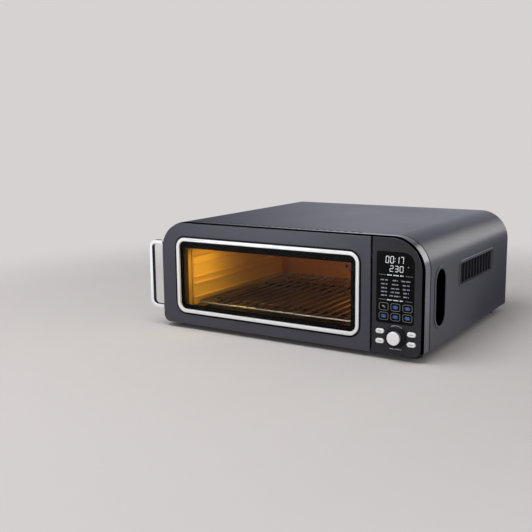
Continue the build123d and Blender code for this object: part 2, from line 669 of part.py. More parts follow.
with BuildPart() as cord_gland:
    with BuildSketch(front(HOUSING_DEPTH)):
        with Locations((GLAND_X, GLAND_Z)):
            Circle(GLAND_FLANGE_RADIUS)
    extrude(amount=-GLAND_FLANGE)
    with BuildSketch(front(REAR_FACE - GLAND_FLANGE)):
        with Locations((GLAND_X, GLAND_Z)):
            Circle(GLAND_RADIUS)
    extrude(amount=REAR_FACE - GLAND_FLANGE - HOUSING_DEPTH - GLAND_REACH)
    fillet(cord_gland.faces().sort_by(Axis.Y)[-1].edges(), GLAND_FLANGE / 2)
    with BuildSketch(front(HOUSING_DEPTH + GLAND_REACH)):
        with Locations((GLAND_X, GLAND_Z)):
            Circle(GLAND_BORE)
    extrude(amount=GLAND_REACH + REAR_FLANGE, mode=Mode.SUBTRACT)
save(cord_gland.part, "cord_gland")

with BuildPart() as feet:
    for foot_place in FEET:
        with BuildSketch(level(0)):
            with Locations(foot_place):
                Circle(FOOT_TOE_RADIUS)
        with BuildSketch(level(SKIRT_CLEARANCE)):
            with Locations(foot_place):
                Circle(FOOT_RADIUS)
        loft()
    fillet(feet.faces().group_by(Axis.Z)[0].edges(), FOOT_EDGE)
    with BuildSketch(level(0)):
        with Locations(*FEET):
            Circle(FOOT_BORE)
    extrude(amount=FOOT_SOLE, mode=Mode.SUBTRACT)
    with BuildSketch(level(0)):
        with Locations(*FEET):
            Circle(FOOT_SCREW_RADIUS)
    extrude(amount=SKIRT_CLEARANCE, mode=Mode.SUBTRACT)
save(feet.part, "feet")

with BuildPart() as foot_screws:
    with BuildSketch(level(FOOT_SOLE)):
        with Locations(*FEET):
            Circle(FOOT_SCREW_HEAD_RADIUS)
    extrude(amount=-FOOT_SCREW_HEAD)
    with BuildSketch(level(FOOT_SOLE)):
        with Locations(*FEET):
            Circle(FOOT_SCREW_RADIUS)
    extrude(amount=BASE_TOP + FOOT_SCREW_TIP - FOOT_SOLE)
save(foot_screws.part, "foot_screws")


def grip_cup(wall, outward):
    """Moulded carrying pocket in a side wall, with a rim that covers the edge of the sheet.

    The wall is the shell's outer face and outward is 1 on the right side and -1 on the left.
    """
    with BuildPart() as cup:
        with BuildSketch(side(wall)):
            with Locations((GRIP_DEPTH_CENTRE, GRIP_LEVEL)):
                SlotOverall(GRIP_HEIGHT + 2 * GRIP_RIM, GRIP_WIDTH + 2 * GRIP_RIM, rotation=90)
        extrude(amount=outward * SIDE_RIM)
        rim_face = cup.faces().sort_by(Axis.X)[-1 if outward > 0 else 0]
        fillet(rim_face.edges(), SIDE_RIM_EDGE)
        with BuildSketch(side(wall)):
            with Locations((GRIP_DEPTH_CENTRE, GRIP_LEVEL)):
                SlotOverall(GRIP_HEIGHT - 2 * GRIP_FIT, GRIP_WIDTH - 2 * GRIP_FIT, rotation=90)
        extrude(amount=-outward * GRIP_POCKET)
        pocket_face = cup.faces().sort_by(Axis.X)[0 if outward > 0 else -1]
        fillet(pocket_face.edges(), GRIP_FLOOR_RADIUS)
        with BuildSketch(side(wall + outward * SIDE_RIM)):
            with Locations((GRIP_DEPTH_CENTRE, GRIP_LEVEL)):
                SlotOverall(GRIP_HEIGHT - 2 * GRIP_WALL, GRIP_WIDTH - 2 * GRIP_WALL, rotation=90)
        extrude(amount=outward * (GRIP_WALL - GRIP_POCKET - SIDE_RIM), mode=Mode.SUBTRACT)
    return cup.part


save(grip_cup(SHELL_RIGHT, 1), "right_grip")
save(grip_cup(SHELL_LEFT, -1), "left_grip")

with BuildPart() as vent_grille:
    vent_rect = (VENT_FRONT, VENT_REAR, VENT_BOTTOM, VENT_TOP)
    with BuildSketch(side(SHELL_RIGHT)):
        window(grown(vent_rect, VENT_RIM), VENT_RADIUS + VENT_RIM)
    extrude(amount=SIDE_RIM)
    chamfer(vent_grille.faces().sort_by(Axis.X)[-1].edges(), SIDE_RIM_EDGE)
    with BuildSketch(side(SHELL_RIGHT)):
        window(grown(vent_rect, -VENT_FIT), VENT_RADIUS - VENT_FIT)
    extrude(amount=-(VENT_RECESS + VENT_SHEET))
    with BuildSketch(side(SHELL_RIGHT + SIDE_RIM)):
        window(grown(vent_rect, -VENT_SHEET), VENT_RADIUS - VENT_SHEET)
    extrude(amount=-(SIDE_RIM + VENT_RECESS), taper=VENT_DRAFT, mode=Mode.SUBTRACT)
    slot_pitch = (VENT_REAR - VENT_FRONT - 2 * VENT_SLOT_MARGIN) / VENT_SLOTS
    with BuildSketch(side(SHELL_RIGHT)):
        with Locations(((VENT_FRONT + VENT_REAR) / 2, (VENT_BOTTOM + VENT_TOP) / 2)):
            with GridLocations(slot_pitch, 0, VENT_SLOTS, 1):
                Rectangle(VENT_SLOT_WIDTH, VENT_TOP - VENT_BOTTOM - 2 * VENT_SLOT_MARGIN)
    extrude(amount=-(VENT_RECESS + VENT_SHEET), mode=Mode.SUBTRACT)
save(vent_grille.part, "vent_grille")

# Cavity

with BuildPart() as cavity_front:
    with BuildSketch(front(CAVITY_FRONT)):
        add(opening_outline(2 * FRAME_WALL))
        slab((SHELL_LEFT, SHELL_RIGHT, 0, BASE_TOP), mode=Mode.SUBTRACT)
        window(MOUTH, MOUTH_CORNER, mode=Mode.SUBTRACT)
    extrude(amount=-CAVITY_SHEET)
save(cavity_front.part, "cavity_front")


def cavity_side(x, outward):
    """Side wall of the cavity, standing on the base, with an upright bead pressed out near the mouth.

    The inner face is at x and outward is 1 on the right side and -1 on the left.
    """
    bead = (BEAD_FRONT, BEAD_BACK, CAVITY_BOTTOM, CAVITY_TOP - CAVITY_SHEET)
    with BuildPart() as wall:
        with BuildSketch(side(x)):
            slab((WALL_FRONT, CAVITY_REAR + CAVITY_SHEET, BASE_TOP, CAVITY_TOP))
            for z in (ELEMENT_LOW, ELEMENT_HIGH):
                with Locations((ELEMENT_FRONT, z), (ELEMENT_REAR, z)):
                    Circle(BUSH_RADIUS, mode=Mode.SUBTRACT)
        extrude(amount=outward * CAVITY_SHEET)
        with BuildSketch(side(x)):
            slab(grown(bead, CAVITY_SHEET))
        extrude(amount=outward * (BEAD_DEPTH + CAVITY_SHEET))
        with BuildSketch(side(x)):
            slab(bead)
        extrude(amount=outward * BEAD_DEPTH, mode=Mode.SUBTRACT)
    return wall.part


save(cavity_side(CAVITY_LEFT, -1), "cavity_left_wall")
save(cavity_side(CAVITY_RIGHT, 1), "cavity_right_wall")

with BuildPart() as cavity_top:
    with BuildSketch(level(CAVITY_TOP)):
        slab(
            (
                CAVITY_LEFT - CAVITY_SHEET,
                CAVITY_RIGHT + CAVITY_SHEET,
                WALL_FRONT,
                CAVITY_REAR + CAVITY_SHEET,
            )
        )
    extrude(amount=CAVITY_SHEET)
save(cavity_top.part, "cavity_top")

with BuildPart() as cavity_floor:
    with BuildSketch(level(CAVITY_BOTTOM)):
        slab((CAVITY_LEFT, CAVITY_RIGHT, WALL_FRONT, CAVITY_REAR + CAVITY_SHEET))
    extrude(amount=-CAVITY_SHEET)
save(cavity_floor.part, "cavity_floor")

with BuildPart() as cavity_rear_wall:
    with BuildSketch(front(CAVITY_REAR)):
        slab(MOUTH)
        with Locations((FAN_X, FAN_Z)):
            Circle(FAN_OPENING_RADIUS, mode=Mode.SUBTRACT)
        with Locations((LAMP_X, LAMP_Z)):
            Circle(LAMP_RADIUS, mode=Mode.SUBTRACT)
        with Locations((PROBE_X, PROBE_Z)):
            Circle(PROBE_RADIUS, mode=Mode.SUBTRACT)
    extrude(amount=-CAVITY_SHEET)
save(cavity_rear_wall.part, "cavity_rear_wall")


def rack_guide(wall, inward):
    """Rolled guide with three channels for the rack; inward is 1 on the left wall and -1 on the right."""
    lip_top = RACK_LEVEL - RACK_RAIL_RADIUS - RACK_LIFT
    guide_top = lip_top + (GUIDE_LEVELS - 1) * GUIDE_PITCH + GUIDE_CHANNEL + GUIDE_SHEET
    across = sorted((wall, wall + inward * GUIDE_SHEET))
    reach = sorted((wall, wall + inward * (GUIDE_SHEET + GUIDE_LIP)))
    with BuildPart() as guide:
        with BuildSketch(front(GUIDE_FRONT)):
            slab((*across, lip_top - GUIDE_SHEET, guide_top))
            for step in range(GUIDE_LEVELS):
                lower = lip_top + step * GUIDE_PITCH
                slab((*reach, lower - GUIDE_SHEET, lower))
                slab((*reach, lower + GUIDE_CHANNEL, lower + GUIDE_CHANNEL + GUIDE_SHEET))
        extrude(amount=GUIDE_FRONT - GUIDE_REAR)
    return guide.part


save(rack_guide(CAVITY_LEFT, 1), "left_rack_guide")
save(rack_guide(CAVITY_RIGHT, -1), "right_rack_guide")


def element_pair(z):
    """Two straight sheathed heating rods across the cavity, with their tails outside the side walls."""
    with BuildPart() as rods:
        with BuildSketch(side(CAVITY_LEFT - ELEMENT_TAIL)):
            with Locations((ELEMENT_FRONT, z), (ELEMENT_REAR, z)):
                Circle(ELEMENT_RADIUS)
        extrude(amount=CAVITY_RIGHT - CAVITY_LEFT + 2 * ELEMENT_TAIL)
    return rods.part


save(element_pair(ELEMENT_HIGH), "upper_elements")
save(element_pair(ELEMENT_LOW), "lower_elements")

with BuildPart() as element_bushes:
    bush_places = [(depth, z) for depth in ELEMENT_DEPTHS for z in (ELEMENT_LOW, ELEMENT_HIGH)]
    for wall, outward in ((CAVITY_LEFT, -1), (CAVITY_RIGHT, 1)):
        with BuildSketch(side(wall)):
            with Locations(*bush_places):
                Circle(BUSH_RADIUS)
                Circle(ELEMENT_RADIUS, mode=Mode.SUBTRACT)
        extrude(amount=outward * CAVITY_SHEET)
        with BuildSketch(side(wall + outward * CAVITY_SHEET)):
            with Locations(*bush_places):
                Circle(BUSH_FLANGE_RADIUS)
                Circle(ELEMENT_RADIUS, mode=Mode.SUBTRACT)
        extrude(amount=outward * BUSH_FLANGE)
save(element_bushes.part, "element_bushes")

with BuildPart() as lamp_socket:
    with BuildSketch(front(CAVITY_REAR + CAVITY_SHEET)):
        with Locations((LAMP_X, LAMP_Z)):
            Circle(LAMP_RADIUS + LAMP_COLLAR)
    extrude(amount=-LAMP_COLLAR)
    with BuildSketch(front(CAVITY_REAR + CAVITY_SHEET)):
        with Locations((LAMP_X, LAMP_Z)):
            Circle(LAMP_RADIUS)
    extrude(amount=-LAMP_SOCKET_DEPTH)
save(lamp_socket.part, "lamp_socket")

with BuildPart() as lamp_glass:
    with BuildSketch(front(CAVITY_REAR + CAVITY_SHEET)):
        with Locations((LAMP_X, LAMP_Z)):
            Circle(LAMP_RADIUS)
    extrude(amount=CAVITY_SHEET)
    with BuildSketch(front(CAVITY_REAR)):
        with Locations((LAMP_X, LAMP_Z)):
            Circle(LAMP_RADIUS + LAMP_COLLAR)
    extrude(amount=LAMP_COLLAR)
    with BuildSketch(front(CAVITY_REAR - LAMP_COLLAR)):
        with Locations((LAMP_X, LAMP_Z)):
            Circle(LAMP_RADIUS)
    extrude(amount=LAMP_REACH - LAMP_COLLAR)
    fillet(lamp_glass.faces().sort_by(Axis.Y)[0].edges(), LAMP_DOME)
save(lamp_glass.part, "lamp_glass")

with BuildPart() as temperature_probe:
    with BuildSketch(front(CAVITY_REAR + CAVITY_SHEET + PROBE_TAIL)):
        with Locations((PROBE_X, PROBE_Z)):
            Circle(PROBE_RADIUS)
    extrude(amount=PROBE_TAIL + CAVITY_SHEET + PROBE_REACH)
    fillet(temperature_probe.faces().sort_by(Axis.Y)[0].edges(), PROBE_TIP)
    with BuildSketch(front(CAVITY_REAR)):
        with Locations((PROBE_X, PROBE_Z)):
            Circle(PROBE_FLANGE_RADIUS)
    extrude(amount=GRILLE_SHEET)
save(temperature_probe.part, "temperature_probe")

# Convection fan

with BuildPart() as fan_grille:
    with BuildSketch(front(CAVITY_REAR)):
        with Locations((FAN_X, FAN_Z)):
            Circle(GRILLE_RADIUS)
            Circle(GRILLE_HOLE_RADIUS, mode=Mode.SUBTRACT)
            for ring in range(1, GRILLE_RINGS):
                with PolarLocations(ring * GRILLE_RING_PITCH, ring * GRILLE_RING_HOLES):
                    Circle(GRILLE_HOLE_RADIUS, mode=Mode.SUBTRACT)
    extrude(amount=GRILLE_SHEET)
    chamfer(fan_grille.faces().sort_by(Axis.Y)[0].outer_wire().edges(), GRILLE_SHEET / 2)
save(fan_grille.part, "fan_grille")

with BuildPart() as fan_housing:
    with BuildSketch(front(CAVITY_REAR + CAVITY_SHEET)):
        with Locations((FAN_X, FAN_Z)):
            Circle(GRILLE_RADIUS)
    extrude(amount=-CAVITY_SHEET)
    with BuildSketch(front(CAVITY_REAR + CAVITY_SHEET)):
        with Locations((FAN_X, FAN_Z)):
            Circle(FAN_OPENING_RADIUS + FAN_SHEET)
    extrude(amount=-FAN_DISH_DEPTH)
    fillet(fan_housing.faces().sort_by(Axis.Y)[-1].edges(), 2 * FAN_SHEET)
    with BuildSketch(front(CAVITY_REAR + CAVITY_SHEET)):
        with Locations((FAN_X, FAN_Z)):
            Circle(FAN_OPENING_RADIUS)
    extrude(amount=FAN_SHEET - FAN_DISH_DEPTH, mode=Mode.SUBTRACT)
    with BuildSketch(front(FAN_DISH_BACK)):
        with Locations((FAN_X, FAN_Z)):
            Circle(MOTOR_BOSS_RADIUS)
    extrude(amount=FAN_DISH_DEPTH, mode=Mode.SUBTRACT)
save(fan_housing.part, "fan_housing")

with BuildPart() as convection_fan:
    with BuildSketch(front(FAN_BACK)):
        with Locations((FAN_X, FAN_Z)):
            Circle(FAN_RADIUS)
    extrude(amount=FAN_SHEET)
    with BuildSketch(front(FAN_BACK)):
        with Locations((FAN_X, FAN_Z)):
            Circle(FAN_HUB_RADIUS)
    extrude(amount=FAN_BLADE_HEIGHT)
    with BuildSketch(front(FAN_BACK - FAN_SHEET)):
        with Locations((FAN_X, FAN_Z)):
            with PolarLocations(FAN_RADIUS - FAN_BLADE_LENGTH / 2 - FAN_SHEET, FAN_BLADES):
                Rectangle(FAN_BLADE_LENGTH, FAN_BLADE_SHEET, rotation=FAN_BLADE_LEAN)
    extrude(amount=FAN_BLADE_HEIGHT)
    with BuildSketch(front(FAN_BACK)):
        with Locations((FAN_X, FAN_Z)):
            Circle(FAN_SHAFT_RADIUS)
    extrude(amount=FAN_BLADE_HEIGHT + FAN_SHEET, mode=Mode.SUBTRACT)
save(convection_fan.part, "convection_fan")

with BuildPart() as fan_shaft:
    with BuildSketch(front(FAN_BACK - FAN_BLADE_HEIGHT)):
        with Locations((FAN_X, FAN_Z)):
            Circle(FAN_SHAFT_RADIUS)
    extrude(amount=FAN_BACK - FAN_BLADE_HEIGHT - MOTOR_FRONT - MOTOR_STACK)
save(fan_shaft.part, "fan_shaft")

with BuildPart() as fan_motor:
    with BuildSketch(front(MOTOR_FRONT)):
        with Locations((FAN_X, FAN_Z)):
            RectangleRounded(MOTOR_WIDTH, MOTOR_HEIGHT, MOTOR_CORNER)
        with Locations((FAN_X + MOTOR_WIDTH / 2 - MOTOR_LEG - MOTOR_WINDOW / 2, FAN_Z)):
            Rectangle(MOTOR_WINDOW, MOTOR_HEIGHT - 2 * MOTOR_WINDOW, mode=Mode.SUBTRACT)
    extrude(amount=-MOTOR_STACK)
    with BuildSketch(front(FAN_DISH_BACK)):
        with Locations((FAN_X, FAN_Z)):
            with GridLocations(MOTOR_WIDTH - 2 * MOTOR_POST_INSET, MOTOR_HEIGHT - 2 * MOTOR_POST_INSET, 2, 2):
                Circle(MOTOR_POST_RADIUS)
    extrude(amount=-MOTOR_STANDOFF)
    with BuildSketch(front(MOTOR_FRONT)):
        with Locations((FAN_X, FAN_Z)):
            Circle(MOTOR_BOSS_RADIUS - FAN_SHEET)
    extrude(amount=MOTOR_STANDOFF)
    with BuildSketch(front(FAN_DISH_BACK)):
        with Locations((FAN_X, FAN_Z)):
            Circle(FAN_SHAFT_RADIUS + SHAFT_FIT)
    extrude(amount=-(MOTOR_STANDOFF + MOTOR_STACK), mode=Mode.SUBTRACT)
save(fan_motor.part, "fan_motor")

with BuildPart() as motor_coil:
    coil_x = FAN_X + MOTOR_WIDTH / 2 - MOTOR_LEG / 2
    coil_height = MOTOR_HEIGHT - 2 * MOTOR_WINDOW
    with BuildSketch(front(MOTOR_FRONT - COIL_MARGIN)):
        with Locations((coil_x, FAN_Z)):
            Rectangle(MOTOR_LEG + 2 * COIL_MARGIN, coil_height)
    extrude(amount=-(MOTOR_STACK + 2 * COIL_MARGIN))
    fillet(motor_coil.edges().filter_by(Axis.Z), COIL_MARGIN / 2)
    with BuildSketch(front(MOTOR_FRONT)):
        with Locations((coil_x, FAN_Z)):
            Rectangle(MOTOR_LEG, coil_height)
    extrude(amount=-MOTOR_STACK, mode=Mode.SUBTRACT)
save(motor_coil.part, "motor_coil")

# Electronics in the right-hand bay

with BuildPart() as power_board:
    with BuildSketch(level(POWER_BOARD_BOTTOM)):
        with Locations((POWER_BOARD_X, POWER_BOARD_DEPTH)):
            Rectangle(POWER_BOARD_WIDTH, POWER_BOARD_LENGTH)
    extrude(amount=BOARD_THICKNESS)
    with BuildSketch(level(POWER_BOARD_TOP)):
        with Locations((POWER_BOARD_X, POWER_BOARD_DEPTH - TRANSFORMER_OFFSET)):
            Rectangle(TRANSFORMER_SIZE, TRANSFORMER_SIZE)
    extrude(amount=TRANSFORMER_HEIGHT)
    with BuildSketch(level(POWER_BOARD_TOP)):
        with Locations((POWER_BOARD_X, POWER_BOARD_DEPTH + RELAY_OFFSET)):
            with GridLocations(RELAY_SPACING, 0, 2, 1):
                Rectangle(RELAY_WIDTH, RELAY_LENGTH)
    extrude(amount=RELAY_HEIGHT)
    with BuildSketch(level(POWER_BOARD_TOP)):
        with Locations((POWER_BOARD_X, POWER_BOARD_DEPTH + CAPACITOR_OFFSET)):
            Circle(CAPACITOR_RADIUS)
    extrude(amount=CAPACITOR_HEIGHT)
save(power_board.part, "power_board")

# Control panel

with BuildPart() as control_fascia:
    fascia_rect = (FASCIA_LEFT, FACE_RIGHT, FACE_CLEARANCE, FACE_TOP)
    with BuildSketch(front(0)):
        add(outline(fascia_rect, [SEAM_CORNER, LOWER_CORNER_RADIUS, SHOULDER_RADIUS, SEAM_CORNER]))
    extrude(amount=-PANEL_THICKNESS)
    fillet(control_fascia.faces().sort_by(Axis.Y)[0].outer_wire().edges(), PANEL_EDGE)
    with BuildSketch(front(0)):
        add(lens_outline(LENS_FIT))
        with Locations(*BUTTONS.values()):
            SlotOverall(BUTTON_LENGTH + 2 * BUTTON_FIT, BUTTON_HEIGHT + 2 * BUTTON_FIT)
        with Locations((DIAL_X, DIAL_Z)):
            Circle(BUSHING_RADIUS + BUTTON_FIT)
    extrude(amount=-PANEL_THICKNESS, mode=Mode.SUBTRACT)
save(control_fascia.part, "control_fascia")

with BuildPart() as control_carrier:
    with BuildSketch(front(PANEL_THICKNESS)):
        add(carrier_outline(0))
        with Locations(*BUTTONS.values()):
            SlotOverall(BUTTON_LENGTH + 2 * BUTTON_FIT, BUTTON_HEIGHT + 2 * BUTTON_FIT, mode=Mode.SUBTRACT)
        with Locations((DIAL_X, DIAL_Z)):
            Circle(BUSHING_RADIUS, mode=Mode.SUBTRACT)
        window(grown(LENS, -LENS_LEDGE), LENS_RADIUS, mode=Mode.SUBTRACT)
    extrude(amount=PANEL_THICKNESS - FRAME_FRONT)
    post_x = (LENS_LEFT + LENS_RIGHT) / 2
    low_post = LENS_BOTTOM - BOARD_POST_RADIUS - LENS_LEDGE
    high_post = LENS_TOP - LENS_LEDGE + 2 * BOARD_POST_RADIUS
    with BuildSketch(front(FRAME_FRONT)):
        with Locations((post_x, (low_post + high_post) / 2)):
            with GridLocations(BOARD_POST_SPACING, high_post - low_post, 2, 2):
                Circle(BOARD_POST_RADIUS)
    extrude(amount=-BOARD_SETBACK)
save(control_carrier.part, "control_carrier")

with BuildPart() as display_lens:
    with BuildSketch(front(LENS_RECESS)):
        add(lens_outline(0))
    extrude(amount=LENS_RECESS - PANEL_THICKNESS)
save(display_lens.part, "display_lens")

with BuildPart() as display_board:
    with BuildSketch(front(BOARD_FRONT)):
        add(carrier_outline(BAY_MARGIN + BOARD_FIT))
    extrude(amount=-BOARD_THICKNESS)
save(display_board.part, "display_board")

with BuildPart() as key_switches:
    with BuildSketch(front(BOARD_FRONT)):
        with Locations(*BUTTONS.values()):
            Rectangle(SWITCH_SIZE, SWITCH_SIZE)
    extrude(amount=BOARD_FRONT - SWITCH_TOP - SWITCH_PLUNGER)
    with BuildSketch(front(BOARD_FRONT)):
        with Locations(*BUTTONS.values()):
            Circle(SWITCH_PLUNGER_RADIUS)
    extrude(amount=BOARD_FRONT - SWITCH_TOP)
save(key_switches.part, "key_switches")

for button_name, button_place in BUTTONS.items():
    with BuildPart() as button:
        with BuildSketch(front(-BUTTON_PROUD)):
            with Locations(button_place):
                SlotOverall(BUTTON_LENGTH, BUTTON_HEIGHT)
        extrude(amount=-(BUTTON_PROUD + BUTTON_FLANGE_FRONT))
        fillet(button.faces().sort_by(Axis.Y)[0].edges(), BUTTON_EDGE)
        with BuildSketch(front(BUTTON_FLANGE_FRONT)):
            with Locations(button_place):
                Rectangle(BUTTON_LENGTH - BUTTON_HEIGHT, BUTTON_HEIGHT + 2 * BUTTON_FLANGE)
        extrude(amount=-BUTTON_FLANGE_THICKNESS)
    save(button.part, button_name)

with BuildPart() as encoder_body:
    with BuildSketch(front(ENCODER_FRONT)):
        with Locations((DIAL_X, DIAL_Z)):
            Rectangle(ENCODER_SIZE, ENCODER_SIZE)
    extrude(amount=-ENCODER_HEIGHT)
    with BuildSketch(front(ENCODER_FRONT)):
        with Locations((DIAL_X, DIAL_Z)):
            Circle(BUSHING_RADIUS)
    extrude(amount=ENCODER_FRONT - PANEL_THICKNESS)
    with BuildSketch(front(PANEL_THICKNESS)):
        with Locations((DIAL_X, DIAL_Z)):
            Circle(SHAFT_RADIUS + SHAFT_FIT)
    extrude(amount=PANEL_THICKNESS - BOARD_FRONT, mode=Mode.SUBTRACT)
    with BuildSketch(front(PLUNGER_FRONT)):
        with Locations((DIAL_X, DIAL_Z)):
            Circle(PLUNGER_RADIUS + SHAFT_FIT)
    extrude(amount=PLUNGER_FRONT - BOARD_FRONT, mode=Mode.SUBTRACT)
save(encoder_body.part, "encoder_body")

with BuildPart() as encoder_plunger:
    with BuildSketch(front(PLUNGER_FRONT)):
        with Locations((DIAL_X, DIAL_Z)):
            Circle(PLUNGER_RADIUS)
    extrude(amount=-PLUNGER_THICKNESS)
save(encoder_plunger.part, "encoder_plunger")

with BuildPart() as encoder_shaft:
    with BuildSketch(front(DIAL_CROWN - DIAL_REACH)):
        with Locations((DIAL_X, DIAL_Z)):
            Circle(SHAFT_RADIUS)
    extrude(amount=DIAL_CROWN - DIAL_REACH - PLUNGER_FRONT)
save(encoder_shaft.part, "encoder_shaft")

with BuildPart() as dial_skirt:
    with BuildSketch(front(SKIRT_FRONT)):
        with Locations((DIAL_X, DIAL_Z)):
            Circle(SKIRT_RADIUS)
    extrude(amount=-SKIRT_THICKNESS)
    chamfer(dial_skirt.faces().sort_by(Axis.Y)[0].edges(), DIAL_EDGE)
    with BuildSketch(front(SKIRT_FRONT)):
        with Locations((DIAL_X, DIAL_Z)):
            Circle(SHAFT_RADIUS)
    extrude(amount=-SKIRT_THICKNESS, mode=Mode.SUBTRACT)
save(dial_skirt.part, "dial_skirt")

with BuildPart() as dial_cap:
    with BuildSketch(front(-DIAL_REACH)):
        with Locations((DIAL_X, DIAL_Z)):
            Circle(DIAL_RADIUS)
    extrude(amount=-(DIAL_REACH + SKIRT_FRONT))
    fillet(dial_cap.faces().sort_by(Axis.Y)[0].edges(), DIAL_EDGE)
    with BuildSketch(front(DIAL_CROWN - DIAL_REACH)):
        with Locations((DIAL_X, DIAL_Z)):
            Circle(SHAFT_RADIUS)
    extrude(amount=DIAL_CROWN - DIAL_REACH - SKIRT_FRONT, mode=Mode.SUBTRACT)
save(dial_cap.part, "dial_cap")

# Door

with BuildPart() as door_panel:
    door_rect = (FACE_LEFT, DOOR_RIGHT, FACE_CLEARANCE, FACE_TOP)
    with BuildSketch(front(0)):
        add(outline(door_rect, [LOWER_CORNER_RADIUS, SEAM_CORNER, SEAM_CORNER, SHOULDER_RADIUS]))
    extrude(amount=-PANEL_THICKNESS)
    fillet(door_panel.faces().sort_by(Axis.Y)[0].outer_wire().edges(), PANEL_EDGE)
    with BuildSketch(front(0)):
        window(grown(TRIM, TRIM_FIT), TRIM_RADIUS + TRIM_FIT)
    extrude(amount=-PANEL_THICKNESS, mode=Mode.SUBTRACT)
    with BuildSketch(level(PLUG_BOTTOM)):
        with Locations((HINGE_X, HINGE_DEPTH)):
            Circle(BARREL_RADIUS + BARREL_CLEARANCE)
    extrude(amount=PLUG_TOP - PLUG_BOTTOM, mode=Mode.SUBTRACT)
save(door_panel.part, "door_panel")

with BuildPart() as window_trim:
    with BuildSketch(front(-TRIM_PROUD)):
        window(TRIM, TRIM_RADIUS)
        window(grown(TRIM, -TRIM_WIDTH), TRIM_RADIUS - TRIM_WIDTH, mode=Mode.SUBTRACT)
    extrude(amount=-(TRIM_PROUD + PANEL_THICKNESS))
    fillet(window_trim.faces().sort_by(Axis.Y)[0].edges(), TRIM_EDGE)
save(window_trim.part, "window_trim")

with BuildPart() as outer_glass:
    with BuildSketch(front(PANEL_THICKNESS)):
        window(grown(TRIM, TRIM_FIT + GLASS_LIP), TRIM_RADIUS + TRIM_FIT + GLASS_LIP)
    extrude(amount=-GLASS_THICKNESS)
save(outer_glass.part, "outer_glass")

with BuildPart() as inner_glass:
    with BuildSketch(front(PLUG_BACK - GLASS_THICKNESS)):
        window(grown(SIGHT, GLASS_LIP), SIGHT_RADIUS)
    extrude(amount=-GLASS_THICKNESS)
save(inner_glass.part, "inner_glass")

with BuildPart() as door_liner:
    liner_rect = (FACE_LEFT + LINER_INSET, HINGE_X, FACE_CLEARANCE + LINER_INSET, FACE_TOP - LINER_INSET)
    liner_radii = [LOWER_CORNER_RADIUS - LINER_INSET, SEAM_CORNER, SEAM_CORNER, SHOULDER_RADIUS - LINER_INSET]
    with BuildSketch(front(PANEL_THICKNESS)):
        add(outline(liner_rect, liner_radii))
    extrude(amount=-LINER_THICKNESS)
    with BuildSketch(front(LINER_BACK)):
        add(outline(PLUG, [PLUG_CORNER, PLUG_CORNER, PLUG_CORNER, OPENING_SHOULDER - PLUG_GAP]))
    extrude(amount=-PLUG_DEPTH)
    with BuildSketch(level(PLUG_BOTTOM)):
        with Locations((HINGE_X, HINGE_DEPTH)):
            Circle(BARREL_RADIUS)
    extrude(amount=PLUG_TOP - PLUG_BOTTOM)
    with BuildSketch(front(PANEL_THICKNESS)):
        window(grown(TRIM, TRIM_FIT + GLASS_LIP + GLASS_FIT), TRIM_RADIUS + TRIM_FIT + GLASS_LIP + GLASS_FIT)
    extrude(amount=-GLASS_THICKNESS, mode=Mode.SUBTRACT)
    with BuildSketch(front(PANEL_THICKNESS)):
        window(SIGHT, SIGHT_RADIUS)
    extrude(amount=PANEL_THICKNESS - PLUG_BACK, mode=Mode.SUBTRACT)
    with BuildSketch(front(PLUG_BACK)):
        window(grown(SIGHT, GLASS_LIP + GLASS_FIT), SIGHT_RADIUS + GLASS_FIT)
    extrude(amount=GLASS_THICKNESS, mode=Mode.SUBTRACT)
    for bracket_level in BRACKET_LEVELS:
        with BuildSketch(level(bracket_level - BRACKET_CLEARANCE)):
            slab((HINGE_X - BRACKET_ARM_LEFT - BRACKET_CLEARANCE, FASCIA_LEFT, 0, PLUG_BACK))
        extrude(amount=BRACKET_THICKNESS + 2 * BRACKET_CLEARANCE, mode=Mode.SUBTRACT)
        with BuildSketch(level(bracket_level - BRACKET_CLEARANCE - PIN_GRIP)):
            with Locations((HINGE_X, HINGE_DEPTH)):
                Circle(PIN_RADIUS)
        extrude(amount=BRACKET_THICKNESS + 2 * BRACKET_CLEARANCE + 2 * PIN_GRIP, mode=Mode.SUBTRACT)
    for handle_level in HANDLE_LEVELS:
        with BuildSketch(front(PANEL_THICKNESS)):
            slab(
                (
                    FACE_LEFT,
                    FACE_LEFT + TAB_LENGTH,
                    handle_level - TAB_HEIGHT / 2,
                    handle_level + TAB_HEIGHT / 2,
                )
            )
        extrude(amount=-TAB_THICKNESS, mode=Mode.SUBTRACT)
        with BuildSketch(front(LINER_BACK)):
            with Locations((FACE_LEFT + TAB_LENGTH - PULL_SCREW_SETBACK, handle_level)):
                Circle(PULL_SCREW_RADIUS)
        extrude(amount=LINER_THICKNESS, mode=Mode.SUBTRACT)
        with BuildSketch(front(LINER_BACK)):
            with Locations((FACE_LEFT + TAB_LENGTH - PULL_SCREW_SETBACK, handle_level)):
                Circle(PULL_SCREW_RADIUS + PULL_SCREW_HEAD)
        extrude(amount=PULL_SCREW_HEAD, taper=PULL_SCREW_TAPER, mode=Mode.SUBTRACT)
    with BuildSketch(front(LINER_BACK)):
        slab((CATCH_LEFT, CATCH_LEFT + CATCH_WIDTH, CATCH_LEVEL, CATCH_LEVEL + CATCH_HEIGHT))
    extrude(amount=CATCH_THICKNESS, mode=Mode.SUBTRACT)
save(door_liner.part, "door_liner")

